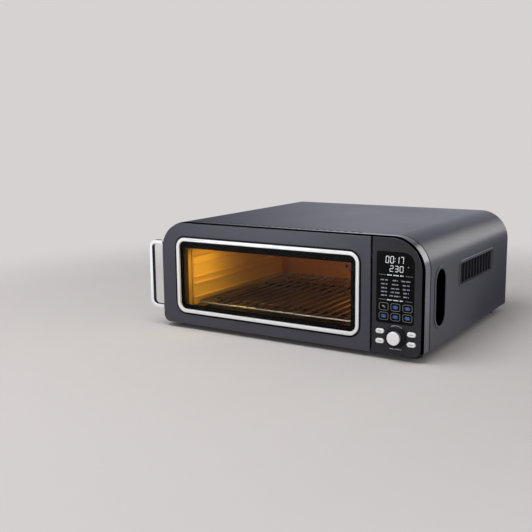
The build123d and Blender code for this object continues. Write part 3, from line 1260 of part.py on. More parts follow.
with BuildPart() as door_gasket:
    gasket_right = PLUG_RIGHT - GASKET_MARGIN
    gasket_outer = (PLUG_LEFT + GASKET_MARGIN, gasket_right, PLUG_BOTTOM, PLUG_TOP - GASKET_MARGIN)
    gasket_corner = OPENING_SHOULDER - PLUG_GAP - GASKET_MARGIN
    gasket_radii = [PLUG_CORNER, PLUG_CORNER, PLUG_CORNER, gasket_corner]
    with BuildSketch(front(PLUG_BACK)):
        add(outline(gasket_outer, gasket_radii))
        add(
            outline(grown(gasket_outer, -GASKET_WIDTH), [radius - GASKET_WIDTH for radius in gasket_radii]),
            mode=Mode.SUBTRACT,
        )
    extrude(amount=-GASKET_HEIGHT)
    fillet(door_gasket.faces().sort_by(Axis.Y)[-1].edges(), GASKET_EDGE)
save(door_gasket.part, "door_gasket")

with BuildPart() as catch_plate:
    with BuildSketch(front(LINER_BACK)):
        slab((CATCH_LEFT, CATCH_LEFT + CATCH_WIDTH, CATCH_LEVEL, CATCH_LEVEL + CATCH_HEIGHT))
    extrude(amount=CATCH_THICKNESS)
save(catch_plate.part, "catch_plate")

with BuildPart() as catch_magnet:
    with BuildSketch(front(FRAME_FRONT)):
        slab((CATCH_LEFT, CATCH_LEFT + CATCH_WIDTH, CATCH_LEVEL, CATCH_LEVEL + CATCH_HEIGHT))
    extrude(amount=-MAGNET_DEPTH)
save(catch_magnet.part, "catch_magnet")

with BuildPart() as hinge_pins:
    for bracket_level in BRACKET_LEVELS:
        with BuildSketch(level(bracket_level - BRACKET_CLEARANCE - PIN_GRIP)):
            with Locations((HINGE_X, HINGE_DEPTH)):
                Circle(PIN_RADIUS)
        extrude(amount=BRACKET_THICKNESS + 2 * BRACKET_CLEARANCE + 2 * PIN_GRIP)
save(hinge_pins.part, "hinge_pins")

with BuildPart() as hinge_brackets:
    for bracket_level in BRACKET_LEVELS:
        with BuildSketch(level(bracket_level)):
            slab(
                (
                    HINGE_X - BRACKET_ARM_LEFT,
                    HINGE_X + BRACKET_ARM_RIGHT,
                    HINGE_DEPTH,
                    CAVITY_FRONT - BRACKET_FOOT,
                )
            )
            with Locations((HINGE_X, HINGE_DEPTH)):
                Circle(PIN_RADIUS + PIN_FIT + BRACKET_RIM)
                Circle(PIN_RADIUS + PIN_FIT, mode=Mode.SUBTRACT)
        extrude(amount=BRACKET_THICKNESS)
        foot_middle = bracket_level + BRACKET_THICKNESS / 2
        with BuildSketch(front(CAVITY_FRONT)):
            slab(
                (
                    DOOR_RIGHT - BRACKET_FOOT_WIDTH,
                    DOOR_RIGHT,
                    foot_middle - BRACKET_FOOT_HEIGHT / 2,
                    foot_middle + BRACKET_FOOT_HEIGHT / 2,
                )
            )
        extrude(amount=BRACKET_FOOT)
save(hinge_brackets.part, "hinge_brackets")

with BuildPart() as handle_bail:
    handle_x = FACE_LEFT - HANDLE_REACH + HANDLE_WIDTH / 2
    with BuildLine(front(HANDLE_SETBACK + HANDLE_DEPTH / 2)) as bail_path:
        FilletPolyline(
            (FACE_LEFT, HANDLE_LOW),
            (handle_x, HANDLE_LOW),
            (handle_x, HANDLE_HIGH),
            (FACE_LEFT, HANDLE_HIGH),
            radius=HANDLE_BEND,
        )
    with BuildSketch(Plane(origin=bail_path.line @ 0, x_dir=(0, 1, 0), z_dir=bail_path.line % 0)):
        RectangleRounded(HANDLE_DEPTH, HANDLE_WIDTH, HANDLE_EDGE)
    sweep()
    with BuildSketch(front(LINER_BACK)):
        slab((SHELL_LEFT - HANDLE_RELIEF, FACE_LEFT, 0, SHELL_TOP))
    extrude(amount=-HANDLE_DEPTH, mode=Mode.SUBTRACT)
    for handle_level in HANDLE_LEVELS:
        with BuildSketch(front(PANEL_THICKNESS)):
            slab(
                (
                    FACE_LEFT - HANDLE_RELIEF,
                    FACE_LEFT + TAB_LENGTH,
                    handle_level - TAB_HEIGHT / 2,
                    handle_level + TAB_HEIGHT / 2,
                )
            )
        extrude(amount=-TAB_THICKNESS)
        with BuildSketch(front(PANEL_THICKNESS)):
            with Locations((FACE_LEFT + TAB_LENGTH - PULL_SCREW_SETBACK, handle_level)):
                Circle(PULL_SCREW_RADIUS)
        extrude(amount=-TAB_THICKNESS, mode=Mode.SUBTRACT)
save(handle_bail.part, "handle_bail")

with BuildPart() as handle_screws:
    with BuildSketch(front(LINER_BACK)):
        for handle_level in HANDLE_LEVELS:
            with Locations((FACE_LEFT + TAB_LENGTH - PULL_SCREW_SETBACK, handle_level)):
                Circle(PULL_SCREW_RADIUS + PULL_SCREW_HEAD)
    extrude(amount=PULL_SCREW_HEAD, taper=PULL_SCREW_TAPER)
    with BuildSketch(front(LINER_BACK)):
        for handle_level in HANDLE_LEVELS:
            with Locations((FACE_LEFT + TAB_LENGTH - PULL_SCREW_SETBACK, handle_level)):
                Circle(PULL_SCREW_RADIUS)
    extrude(amount=LINER_THICKNESS)
save(handle_screws.part, "handle_screws")

# Rack and crumb tray

with BuildPart() as wire_rack:
    guide_gap = GUIDE_SHEET + RACK_SIDE_GAP + RACK_RAIL_RADIUS
    rack_left = CAVITY_LEFT + guide_gap
    rack_right = CAVITY_RIGHT - guide_gap
    with BuildLine(level(RACK_LEVEL)) as rail_path:
        FilletPolyline(
            ((rack_left + rack_right) / 2, RACK_FRONT),
            (rack_right, RACK_FRONT),
            (rack_right, RACK_REAR),
            (rack_left, RACK_REAR),
            (rack_left, RACK_FRONT),
            radius=[0, RACK_CORNER, RACK_CORNER, RACK_CORNER, RACK_CORNER],
            close=True,
        )
    with BuildSketch(Plane(origin=rail_path.line @ 0, z_dir=rail_path.line % 0)):
        Circle(RACK_RAIL_RADIUS)
    sweep()
    wire_level = RACK_LEVEL + RACK_RAIL_RADIUS + RACK_WIRE_RADIUS - RACK_WELD
    wire_pitch = (rack_right - rack_left - 2 * RACK_CORNER) / (RACK_WIRES - 1)
    with BuildSketch(front(RACK_FRONT - RACK_RAIL_RADIUS)):
        with Locations(((rack_left + rack_right) / 2, wire_level)):
            with GridLocations(wire_pitch, 0, RACK_WIRES, 1):
                Circle(RACK_WIRE_RADIUS)
    extrude(amount=RACK_FRONT - RACK_REAR - 2 * RACK_RAIL_RADIUS)
save(wire_rack.part, "wire_rack")

with BuildPart() as crumb_tray:
    tray_rect = (CAVITY_LEFT + TRAY_SIDE_GAP, CAVITY_RIGHT - TRAY_SIDE_GAP, TRAY_FRONT, TRAY_REAR)
    with BuildSketch(level(CAVITY_BOTTOM + TRAY_LIFT)):
        window(tray_rect, MOUTH_CORNER)
    extrude(amount=TRAY_RIM)
    with BuildSketch(level(CAVITY_BOTTOM + TRAY_LIFT + TRAY_SHEET)):
        window(grown(tray_rect, -TRAY_SHEET), MOUTH_CORNER - TRAY_SHEET)
    extrude(amount=TRAY_RIM, mode=Mode.SUBTRACT)
save(crumb_tray.part, "crumb_tray")
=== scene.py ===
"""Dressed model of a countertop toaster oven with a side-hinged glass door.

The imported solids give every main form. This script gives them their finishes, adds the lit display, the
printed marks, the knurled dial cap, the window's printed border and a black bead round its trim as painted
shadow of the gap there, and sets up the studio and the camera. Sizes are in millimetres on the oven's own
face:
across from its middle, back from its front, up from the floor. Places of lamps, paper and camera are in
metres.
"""

from __future__ import annotations

import json
import logging
from dataclasses import dataclass, replace
from enum import Enum
from typing import Any, Mapping, Sequence

import bpy
import numpy as np
from mathutils import Matrix, Vector

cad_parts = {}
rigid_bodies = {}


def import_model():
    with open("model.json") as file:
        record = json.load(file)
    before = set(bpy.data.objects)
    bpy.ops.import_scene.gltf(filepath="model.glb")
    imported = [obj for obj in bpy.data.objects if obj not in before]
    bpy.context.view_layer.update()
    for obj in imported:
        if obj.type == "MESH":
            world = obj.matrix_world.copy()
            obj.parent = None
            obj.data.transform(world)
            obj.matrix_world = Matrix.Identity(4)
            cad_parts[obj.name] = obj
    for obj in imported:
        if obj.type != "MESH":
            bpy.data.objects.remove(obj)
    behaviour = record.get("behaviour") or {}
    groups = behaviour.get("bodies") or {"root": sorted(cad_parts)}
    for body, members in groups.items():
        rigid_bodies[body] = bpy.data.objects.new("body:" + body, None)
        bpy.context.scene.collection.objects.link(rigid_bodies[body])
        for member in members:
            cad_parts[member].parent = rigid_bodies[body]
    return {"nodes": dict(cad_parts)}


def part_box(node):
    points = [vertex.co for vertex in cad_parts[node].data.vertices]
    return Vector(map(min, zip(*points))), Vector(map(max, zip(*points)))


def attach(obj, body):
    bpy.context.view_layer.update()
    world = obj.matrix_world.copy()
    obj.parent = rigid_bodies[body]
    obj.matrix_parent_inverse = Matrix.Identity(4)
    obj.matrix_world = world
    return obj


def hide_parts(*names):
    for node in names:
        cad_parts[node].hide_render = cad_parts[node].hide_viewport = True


LOG = logging.getLogger("oven")
MM = 0.001
Pair = tuple[float, float]
Triple = tuple[float, float, float]
Number = float | np.ndarray

# Places of a Mix node's sockets: its two values, its two colours, and the mixed colour.
VALUE_A, VALUE_B, COLOUR_A, COLOUR_B, COLOUR_OUT = 2, 3, 6, 7, 2
# Scale of the Wave texture at which one wave is a metre long.
WAVE_SCALE = np.pi / 10
# Fine patterns: how far rings and bands stray, and a brushed line's length over its width.
RING_STRAY, BAND_STRAY, BRUSH_STRETCH = 1.5, 0.6, 40.0
# Octaves of detail in the fine patterns, in moulded ones and in the broad mottle.
FINE_DETAIL, MOULDED_DETAIL, MOTTLE_DETAIL = 2.0, 4.0, 3.0
# Pattern values at which a finish shows its colour alone and its tone alone, and at which it is roughest.
PURE_COLOUR, PURE_TONE, ROUGHEST = 0.1, 0.45, 0.5
LEAST_ROUGHNESS = 0.02
# Faces that meet at more than this angle, in degrees, keep a sharp edge.
SHARP_ANGLE = 35.0
# Corner radius of a round-ended bar over half its height: a hair under 1, so that no two points meet.
BAR_ROUNDNESS = 0.98
# Marks that stand for print: steps of the sequences that vary them, and corner radius over width.
WIDTH_STEP, LENGTH_STEP, HEIGHT_STEP, MARK_CORNER = 0.618, 0.37, 3.7, 0.2
# Least share of the pitch or of the height that a mark takes, and the most that the sequence adds.
MARK_WIDTH, MARK_HEIGHT = (0.5, 0.35), (0.75, 0.25)
# Places in one word, and the place that is left bare.
WORD_MARKS, WORD_GAP = 6, 4


# Colours and nodes


def linear(code: str) -> tuple[float, float, float, float]:
    """Turn an sRGB hex colour into linear light.

    Args:
        code: colour such as "#3a3b42".

    Returns:
        Red, green, blue and a full alpha for a colour socket.
    """
    share = np.array([int(code[k : k + 2], 16) for k in (1, 3, 5)]) / 255
    light = np.where(share <= 0.04045, share / 12.92, ((share + 0.055) / 1.055) ** 2.4)
    return (float(light[0]), float(light[1]), float(light[2]), 1.0)


def add_node(
    tree: bpy.types.NodeTree, kind: str, inputs: Mapping[Any, Any] | None = None, **settings: Any
) -> bpy.types.Node:
    """Add one node, set its properties, and fill or link its inputs.

    Args:
        tree: node tree that gets the node.
        kind: the node's class name.
        inputs: value for each input, by name or place; an output socket is linked instead.
        settings: properties of the node itself.

    Returns:
        The new node.
    """
    made = tree.nodes.new(kind)
    for name, value in settings.items():
        setattr(made, name, value)
    for name, value in (inputs or {}).items():
        if isinstance(value, bpy.types.NodeSocket):
            tree.links.new(value, made.inputs[name])
        else:
            made.inputs[name].default_value = value
    return made


class Grain(Enum):
    """How a surface was made, which sets its fine pattern."""

    COATED = "sprayed and baked, with a fine orange peel"
    BRUSHED_ACROSS = "abraded in straight lines from left to right"
    BRUSHED_BACK = "abraded in straight lines from front to back"
    SPUN = "turned on a lathe, with rings about its axis"
    MOULDED = "pressed against a spark-eroded tool"
    WOUND = "wire or braid laid side by side"


@dataclass(frozen=True)
class Shade:
    """Part of a surface that a dull second colour takes over.

    The place is measured along a direction, as their dot product in metres. The second colour has no share
    at the start and all of it at the end.
    """

    direction: Triple
    start: float
    end: float
    colour: str = "#050506"

    def share(self, tree: bpy.types.NodeTree, place: bpy.types.NodeSocket) -> bpy.types.NodeSocket:
        """Share of the second colour, which grows evenly from the start to the end.

        Args:
            tree: material's node tree.
            place: object coordinates, in metres.

        Returns:
            The share's value socket.
        """
        ends = {0: place, 1: self.direction}
        along = add_node(tree, "ShaderNodeVectorMath", ends, operation="DOT_PRODUCT").outputs["Value"]
        growth = {"Value": along, "From Min": self.start, "From Max": self.end}
        return add_node(tree, "ShaderNodeMapRange", growth).outputs[0]


@dataclass(frozen=True)
class Finish:
    """Look of one real material.

    The grain's size is the real one, or as coarse as it needs to be to show at about 1.5 mm a pixel.
    """

    name: str
    colour: str
    tone: str
    roughness: float
    grain: Grain
    grain_mm: float
    relief_mm: float = 0.0
    swing: float = 0.05
    mottle_mm: float = 120.0
    metallic: float = 0.0
    ior: float = 1.5
    specular: float = 0.5
    transmission: float = 0.0
    glow: str = "#000000"
    glow_strength: float = 0.0
    centre: Triple = (0.0, 0.0, 0.0)
    shades: tuple[Shade, ...] = ()

    def pattern(self, tree: bpy.types.NodeTree, place: bpy.types.NodeSocket) -> bpy.types.NodeSocket:
        """Fine pattern of the grain, from 0 to 1.

        Args:
            tree: material's node tree.
            place: object coordinates, in metres.

        Returns:
            The pattern's value socket.
        """
        fine = 1 / (self.grain_mm * MM)
        if self.grain is Grain.SPUN:
            away = {"Vector": place, "Location": tuple(-c for c in self.centre)}
            moved = add_node(tree, "ShaderNodeMapping", away).outputs[0]
            rings = {"Vector": moved, "Scale": WAVE_SCALE * fine}
            rings |= {"Distortion": RING_STRAY, "Detail": FINE_DETAIL}
            lathe = {"wave_type": "RINGS", "rings_direction": "Y"}
            return add_node(tree, "ShaderNodeTexWave", rings, **lathe).outputs["Fac"]
        if self.grain is Grain.WOUND:
            bands = {"Vector": place, "Scale": WAVE_SCALE * fine, "Distortion": BAND_STRAY}
            return add_node(tree, "ShaderNodeTexWave", bands, bands_direction="DIAGONAL").outputs["Fac"]
        stretch = {
            Grain.BRUSHED_ACROSS: (fine / BRUSH_STRETCH, fine, fine),
            Grain.BRUSHED_BACK: (fine, fine / BRUSH_STRETCH, fine),
        }.get(self.grain, (fine, fine, fine))
        scaled = add_node(tree, "ShaderNodeMapping", {"Vector": place, "Scale": stretch}).outputs[0]
        detail = MOULDED_DETAIL if self.grain is Grain.MOULDED else FINE_DETAIL
        noise = {"Vector": scaled, "Scale": 1.0, "Detail": detail}
        return add_node(tree, "ShaderNodeTexNoise", noise).outputs[0]

    def material(self) -> bpy.types.Material:
        """Build the node material.

        Returns:
            Material with a patterned colour, roughness and bump on one principled shader.
        """
        made = bpy.data.materials.new(self.name)
        made.use_nodes = True
        tree = made.node_tree
        tree.nodes.clear()
        place = add_node(tree, "ShaderNodeTexCoord").outputs["Object"]
        grain = self.pattern(tree, place)
        mottle = {"Vector": place, "Scale": 1 / (self.mottle_mm * MM), "Detail": MOTTLE_DETAIL}
        broad = add_node(tree, "ShaderNodeTexNoise", mottle).outputs[0]
        mixed = add_node(tree, "ShaderNodeMath", {0: broad, 1: grain}, operation="MULTIPLY").outputs[0]
        span = {"Value": mixed, "From Min": PURE_COLOUR, "From Max": PURE_TONE}
        lean = add_node(tree, "ShaderNodeMapRange", span).outputs[0]
        ramp = {"Factor": lean, COLOUR_A: linear(self.colour), COLOUR_B: linear(self.tone)}
        colour = add_node(tree, "ShaderNodeMix", ramp, data_type="RGBA").outputs[COLOUR_OUT]
        gloss: Any = self.specular
        for shade in self.shades:
            share = shade.share(tree, place)
            mix = {"Factor": share, COLOUR_A: colour, COLOUR_B: linear(shade.colour)}
            colour = add_node(tree, "ShaderNodeMix", mix, data_type="RGBA").outputs[COLOUR_OUT]
            dulling = {"Factor": share, VALUE_A: gloss, VALUE_B: 0.0}
            gloss = add_node(tree, "ShaderNodeMix", dulling).outputs[0]
        low, high = max(self.roughness - self.swing, LEAST_ROUGHNESS), min(self.roughness + self.swing, 1.0)
        spread = {"Value": mixed, "From Max": ROUGHEST, "To Min": low, "To Max": high}
        rough = add_node(tree, "ShaderNodeMapRange", spread).outputs[0]
        sockets = {
            "Base Color": colour,
            "Roughness": rough,
            "Metallic": self.metallic,
            "IOR": self.ior,
            "Specular IOR Level": gloss,
            "Transmission Weight": self.transmission,
            "Emission Color": linear(self.glow),
            "Emission Strength": self.glow_strength,
        }
        if self.relief_mm:
            relief = {"Height": grain, "Distance": self.relief_mm * MM}
            sockets["Normal"] = add_node(tree, "ShaderNodeBump", relief).outputs[0]
        shader = add_node(tree, "ShaderNodeBsdfPrincipled", sockets).outputs[0]
        add_node(tree, "ShaderNodeOutputMaterial", {"Surface": self.surface(tree, place, shader)})
        made.diffuse_color = linear(self.colour)
        return made

    def surface(
        self, tree: bpy.types.NodeTree, place: bpy.types.NodeSocket, shader: bpy.types.NodeSocket
    ) -> bpy.types.NodeSocket:
        """Surface that goes to the output, which is the shader alone."""
        return shader


@dataclass(frozen=True)
class Backdrop(Finish):
    """Studio paper with an even pale tone away from the oven.

    Mirrors show it white in front, a cool grey behind, and dim in the dim zones, as a room is darker beyond
    its lamps. A zone is where all planes of its group are passed. The last zone, behind the right side, also
    takes in the paper close to the oven.
    """

    tone_seen: str = "#d6d2d2"
    tone_front: str = "#ffffff"
    tone_behind: str = "#d4d4e0"
    tone_dim: str = "#2e2d33"
    seen_m: Pair = (0.45, 1.2)
    mirrored_m: Pair = (0.3, 0.55)
    front: Shade = Shade((0.0, -1.0, 0.0), 0.2, 0.6)
    dims: tuple[tuple[Shade, ...], ...] = (
        (Shade((0.0, 0.0, 1.0), 0.9, 2.4),),
        (Shade((-1.0, 0.0, 0.0), 1.6, 2.9), Shade((0.0, 1.0, 0.0), 1.4, 2.2)),
        (Shade((-0.8, 0.6, 0.0), 0.4, 0.55), Shade((0.0, 1.0, 0.0), 1.4, 1.0)),
        (Shade((1.0, 0.0, 0.0), 0.2, 0.3), Shade((-3.1, 1.0, 0.0), -1.1, -0.78)),
    )

    def surface(
        self, tree: bpy.types.NodeTree, place: bpy.types.NodeSocket, shader: bpy.types.NodeSocket
    ) -> bpy.types.NodeSocket:
        """Mix the paper with an even glow away from the oven, for seen, mirrored and transmitted rays.

        Args:
            tree: material's node tree.
            place: object coordinates, in metres.
            shader: the lit paper.

        Returns:
            The mixed surface's socket.
        """
        path = add_node(tree, "ShaderNodeLightPath").outputs
        glossy = path["Is Glossy Ray"]
        away = add_node(tree, "ShaderNodeVectorMath", {0: place}, operation="LENGTH").outputs["Value"]
        far = []
        for start, end in (self.seen_m, self.mirrored_m):
            step = {"Value": away, "From Min": start, "From Max": end}
            smooth = add_node(tree, "ShaderNodeMapRange", step, interpolation_type="SMOOTHSTEP")
            far.append(smooth.outputs[0])
        far_seen, far_mirrored = far
        rays = {0: path["Is Camera Ray"], 1: path["Is Transmission Ray"]}
        eye = add_node(tree, "ShaderNodeMath", rays, operation="MAXIMUM").outputs[0]
        seen = add_node(tree, "ShaderNodeMath", {0: eye, 1: far_seen}, operation="MULTIPLY").outputs[0]
        mix = {"Factor": self.front.share(tree, place)}
        mix |= {COLOUR_A: linear(self.tone_behind), COLOUR_B: linear(self.tone_front)}
        mirrored = add_node(tree, "ShaderNodeMix", mix, data_type="RGBA").outputs[COLOUR_OUT]
        for planes in self.dims:
            zone = planes[0].share(tree, place)
            for plane in planes[1:]:
                both = {0: zone, 1: plane.share(tree, place)}
                zone = add_node(tree, "ShaderNodeMath", both, operation="MULTIPLY").outputs[0]
            mix = {"Factor": zone, COLOUR_A: mirrored, COLOUR_B: linear(self.tone_dim)}
            mirrored = add_node(tree, "ShaderNodeMix", mix, data_type="RGBA").outputs[COLOUR_OUT]
        shown = add_node(tree, "ShaderNodeMath", {0: far_mirrored, 1: zone}, operation="MAXIMUM").outputs[0]
        shine = add_node(tree, "ShaderNodeMath", {0: glossy, 1: shown}, operation="MULTIPLY").outputs[0]
        share = add_node(tree, "ShaderNodeMath", {0: seen, 1: shine}, operation="MAXIMUM").outputs[0]
        mix = {"Factor": glossy, COLOUR_A: linear(self.tone_seen), COLOUR_B: mirrored}
        tone = add_node(tree, "ShaderNodeMix", mix, data_type="RGBA").outputs[COLOUR_OUT]
        glow = add_node(tree, "ShaderNodeEmission", {"Color": tone, "Strength": 1.0}).outputs[0]
        return add_node(tree, "ShaderNodeMixShader", {0: share, 1: shader, 2: glow}).outputs[0]


# Satin powder coat on sheet steel: a dull graphite sheen that blurs what it mirrors.
SHELL_COAT = Finish("powder_coated_steel", "#3e3e49", "#444450", 0.33, Grain.COATED, 3.0, 0.02)
# The same coat on the front frame, smoother so that it catches the light on its shoulder, and paler as
# painted highlight there.
FRAME_COAT = replace(
    SHELL_COAT, name="powder_coated_frame", colour="#52525d", tone="#585863", roughness=0.2, specular=1.0
)
# A flatter coat on the door, and a darker one on the fascia: both stay even under the front lamps.
FACE_COAT = Finish("powder_coated_face", "#42424c", "#474752", 0.4, Grain.COATED, 3.0, 0.02, specular=0.25)
FASCIA_COAT = Finish(
    "powder_coated_fascia", "#28282e", "#2d2d34", 0.42, Grain.COATED, 3.0, 0.02, specular=0.2
)
# Bright anodised aluminium: almost white, with a soft brushed gloss.
BRIGHT_TRIM = Finish(
    "anodised_aluminium",
    "#ececee",
    "#f2f2f4",
    0.34,
    Grain.BRUSHED_ACROSS,
    0.8,
    0.01,
    metallic=0.15,
    specular=0.3,
)
# Chromium plate on steel rod: a mirror with faint smears.
CHROME = Finish("chromium_plate", "#f2f2f4", "#f8f8f9", 0.09, Grain.COATED, 12.0, swing=0.03, metallic=1.0)
# Metallised ABS: silver paint under clear lacquer.
SILVER_KEY = Finish("metallised_abs", "#eeeef1", "#f6f6f8", 0.34, Grain.MOULDED, 1.6, 0.01, metallic=0.4)
# Glass-filled black nylon: spark-eroded grain that stays matt.
BLACK_MOULDING = Finish("moulded_nylon", "#0a0a0b", "#101012", 0.55, Grain.MOULDED, 1.8, 0.05, specular=0.2)
# Black enamel on the door's liner: so dull that it hides behind the glass.
LINER_BLACK = Finish("enamelled_liner", "#060607", "#09090a", 0.5, Grain.COATED, 3.0, 0.01, specular=0.12)
# Tempered soda-lime glass with a strong anti-glare coat, hence the low index.
CLEAR_GLASS = Finish(
    "tempered_glass", "#fbfdfc", "#ffffff", 0.03, Grain.COATED, 30.0, swing=0.01, ior=1.1, transmission=1.0
)
# Tinted acrylic over the display: deep black gloss.
DISPLAY_ACRYLIC = Finish(
    "tinted_acrylic", "#050506", "#08080a", 0.14, Grain.COATED, 20.0, swing=0.03, specular=0.06
)
# Aluminised steel sheet, straw-tinted by heat, its strong gold partly painted warm light.
CAVITY_STEEL = Finish(
    "aluminised_steel",
    "#bd8e35",
    "#cc9e44",
    0.42,
    Grain.BRUSHED_BACK,
    1.2,
    0.01,
    metallic=0.4,
    mottle_mm=60.0,
)
# The same sheet on the guides, smoother, and paler as painted highlight; and darker round the mouth.
GUIDE_STEEL = replace(CAVITY_STEEL, name="paler_guides", colour="#d4a648", tone="#deb254", roughness=0.34)
MOUTH_STEEL = replace(CAVITY_STEEL, name="darker_mouth", colour="#6e4e20", tone="#846029")
# The same sheet at the back, in a darker brown as painted shade deep in the cavity.
REAR_SHADE_STEEL = replace(
    CAVITY_STEEL,
    name="rear_shade_steel",
    colour="#94501a",
    tone="#a85f22",
    roughness=0.45,
    grain=Grain.BRUSHED_ACROSS,
)
# Vitreous enamel on the floor and the crumb tray: dark brown under a soft gloss, darker still as painted
# shade.
BROWN_ENAMEL = Finish("vitreous_enamel", "#1e120a", "#28190f", 0.4, Grain.COATED, 2.0, 0.02, mottle_mm=40.0)
# Nickel plate on drawn wire: a warm grey that glints along the bars.
RACK_PLATE = Finish("nickel_plated_wire", "#8f8676", "#a79e8e", 0.3, Grain.COATED, 5.0, metallic=1.0)
# Nickel-iron alloy sheath, darkened by heat.
ELEMENT_SHEATH = Finish(
    "heat_tinted_sheath", "#3a2c25", "#5a4335", 0.5, Grain.BRUSHED_ACROSS, 1.0, 0.02, metallic=0.6
)
# Pressed and fired steatite: chalky and pale.
STEATITE = Finish("unglazed_steatite", "#dcd6c8", "#e6e1d5", 0.7, Grain.MOULDED, 1.2, 0.02)
# Etched glass over the lamp: warm and even, with no bright point.
LAMP_GLASS = Finish(
    "frosted_lamp_glass", "#ffe2b0", "#ffedcb", 0.4, Grain.COATED, 4.0, glow="#ffc46a", glow_strength=1.5
)
# Zinc-plated sheet and screws: cool grey with a faint spangle.
ZINC_STEEL = Finish(
    "zinc_plated_steel",
    "#8d8f91",
    "#a3a5a7",
    0.38,
    Grain.COATED,
    6.0,
    0.01,
    swing=0.1,
    mottle_mm=25.0,
    metallic=0.9,
)
# Varnished copper wire: fine bright turns.
COPPER_COIL = Finish("enamelled_copper", "#8c4a1e", "#b0642c", 0.35, Grain.WOUND, 1.2, 0.2, metallic=0.8)
# Green lacquer over copper tracks: fine lines under a soft gloss.
SOLDER_MASK = Finish("solder_mask", "#0f3d22", "#15522e", 0.4, Grain.WOUND, 2.5, 0.03, mottle_mm=15.0)
# Sintered ferrite: a matt charcoal block.
FERRITE = Finish("sintered_ferrite", "#2a2a2c", "#343437", 0.7, Grain.MOULDED, 1.0, 0.03)
# Silicone-coated glass braid round the door: dark ribs with no gloss.
BRAID = Finish("silicone_braid", "#1b1b1d", "#29292c", 0.75, Grain.WOUND, 1.6, 0.3)
# Moulded nitrile rubber: black and matt.
FOOT_RUBBER = Finish("nitrile_rubber", "#101011", "#18181a", 0.8, Grain.MOULDED, 1.5, 0.06)
# Spun aluminium cap: rings that catch the light.
SPUN_CAP = Finish("spun_aluminium", "#f4f4f6", "#fafafb", 0.3, Grain.SPUN, 1.2, 0.02, metallic=0.45)
# Diffuser plastic lit from behind: white figures, grey lists and outlines, blue signs.
SEGMENT_LIGHT = Finish(
    "lit_segments", "#c9ccd4", "#d3d6dd", 0.4, Grain.COATED, 4.0, glow="#eef2fb", glow_strength=0.5
)
LIST_LIGHT = replace(
    SEGMENT_LIGHT, name="backlit_print", colour="#8f919e", tone="#9a9ca9", glow="#b3b5c6", glow_strength=0.2
)
KEY_LIGHT = replace(
    LIST_LIGHT, name="backlit_outline", colour="#7c7d7a", tone="#868784", glow="#8f9089", glow_strength=0.14
)
GLYPH_LIGHT = replace(KEY_LIGHT, name="backlit_blue", colour="#122a55", tone="#16315f", glow="#1c4486")
GLYPH_LINE = replace(KEY_LIGHT, name="backlit_pale_blue", colour="#4a6fb4", tone="#547abf", glow="#5f8cdc")
# Screen inks: flat, even and matt.
PALE_INK = Finish("pale_screen_ink", "#dcdce0", "#e6e6ea", 0.6, Grain.COATED, 3.0)
GREY_INK = replace(PALE_INK, name="grey_screen_ink", colour="#a4a4aa", tone="#aeaeb4")
# Ceramic ink fired on glass, and a bead of like black as painted shadow round the trim: hardly any light
# comes back from either.
BLACK_CERAMIC_INK = Finish(
    "black_ceramic_ink", "#050505", "#080808", 0.5, Grain.COATED, 3.0, specular=0.05
)
# Uncoated paper: matt, with a faint cloud in its tone.
STUDIO_PAPER = Backdrop(
    "pale_paper", "#d3cfce", "#d5d1d0", 0.9, Grain.COATED, 40.0, mottle_mm=900.0, specular=0.1
)


# Surfaces


def grid_faces(rows: int, columns: int, loop_rows: bool = False, loop_columns: bool = False) -> np.ndarray:
    """Quads between neighbouring points of a grid.

    Quad (i, j) joins points (i, j), (i + 1, j), (i + 1, j + 1) and (i, j + 1), counted round where a side
    loops.

    Args:
        rows: points along the first parameter.
        columns: points along the second parameter.
        loop_rows: whether the last row joins the first.
        loop_columns: whether the last column joins the first.

    Returns:
        Array of four point numbers for each quad.
    """
    steps = (rows if loop_rows else rows - 1, columns if loop_columns else columns - 1)
    i, j = np.indices(steps)
    down, across = (i + 1) % rows, (j + 1) % columns
    corners = [i * columns + j, down * columns + j, down * columns + across, i * columns + across]
    return np.stack(corners, axis=-1).reshape(-1, 4)


def rounded_rectangle(width: float, height: float, radius: float, steps: int = 8) -> np.ndarray:
    """Closed outline of a rectangle with round corners, anticlockwise about its middle.

    Each corner's points are its arc's centre plus the radius times (cos t, sin t), with t through a quarter
    turn.

    Args:
        width: full width.
        height: full height.
        radius: corner radius.
        steps: points on each corner.

    Returns:
        Array of points, four times steps by two.
    """
    turn = np.arange(4)[:, None] * np.pi / 2 + np.linspace(0, np.pi / 2, steps)
    signs = np.array([[1, 1], [-1, 1], [-1, -1], [1, -1]])
    centre = signs * (width / 2 - radius, height / 2 - radius)
    arc = radius * np.stack([np.cos(turn), np.sin(turn)], axis=-1)
    return (centre[:, None] + arc).reshape(-1, 2)


def bars(places: Sequence[Pair] | np.ndarray, lengths: Sequence[float], height: float) -> np.ndarray:
    """Round-ended bars: a rounded rectangle moved to each place and drawn out to its length.

    Args:
        places: middle of each bar.
        lengths: full length of each bar.
        height: full height of every bar.

    Returns:
        Array of outlines, bars by points by two.
    """
    unit = rounded_rectangle(height, height, height / 2 * BAR_ROUNDNESS, steps=4)
    reach = (np.asarray(lengths)[:, None] - height) / 2 * np.sign(unit[None, :, 0])
    outline = np.repeat(unit[None], len(lengths), axis=0)
    outline[:, :, 0] += reach
    return outline + np.asarray(places)[:, None, :]


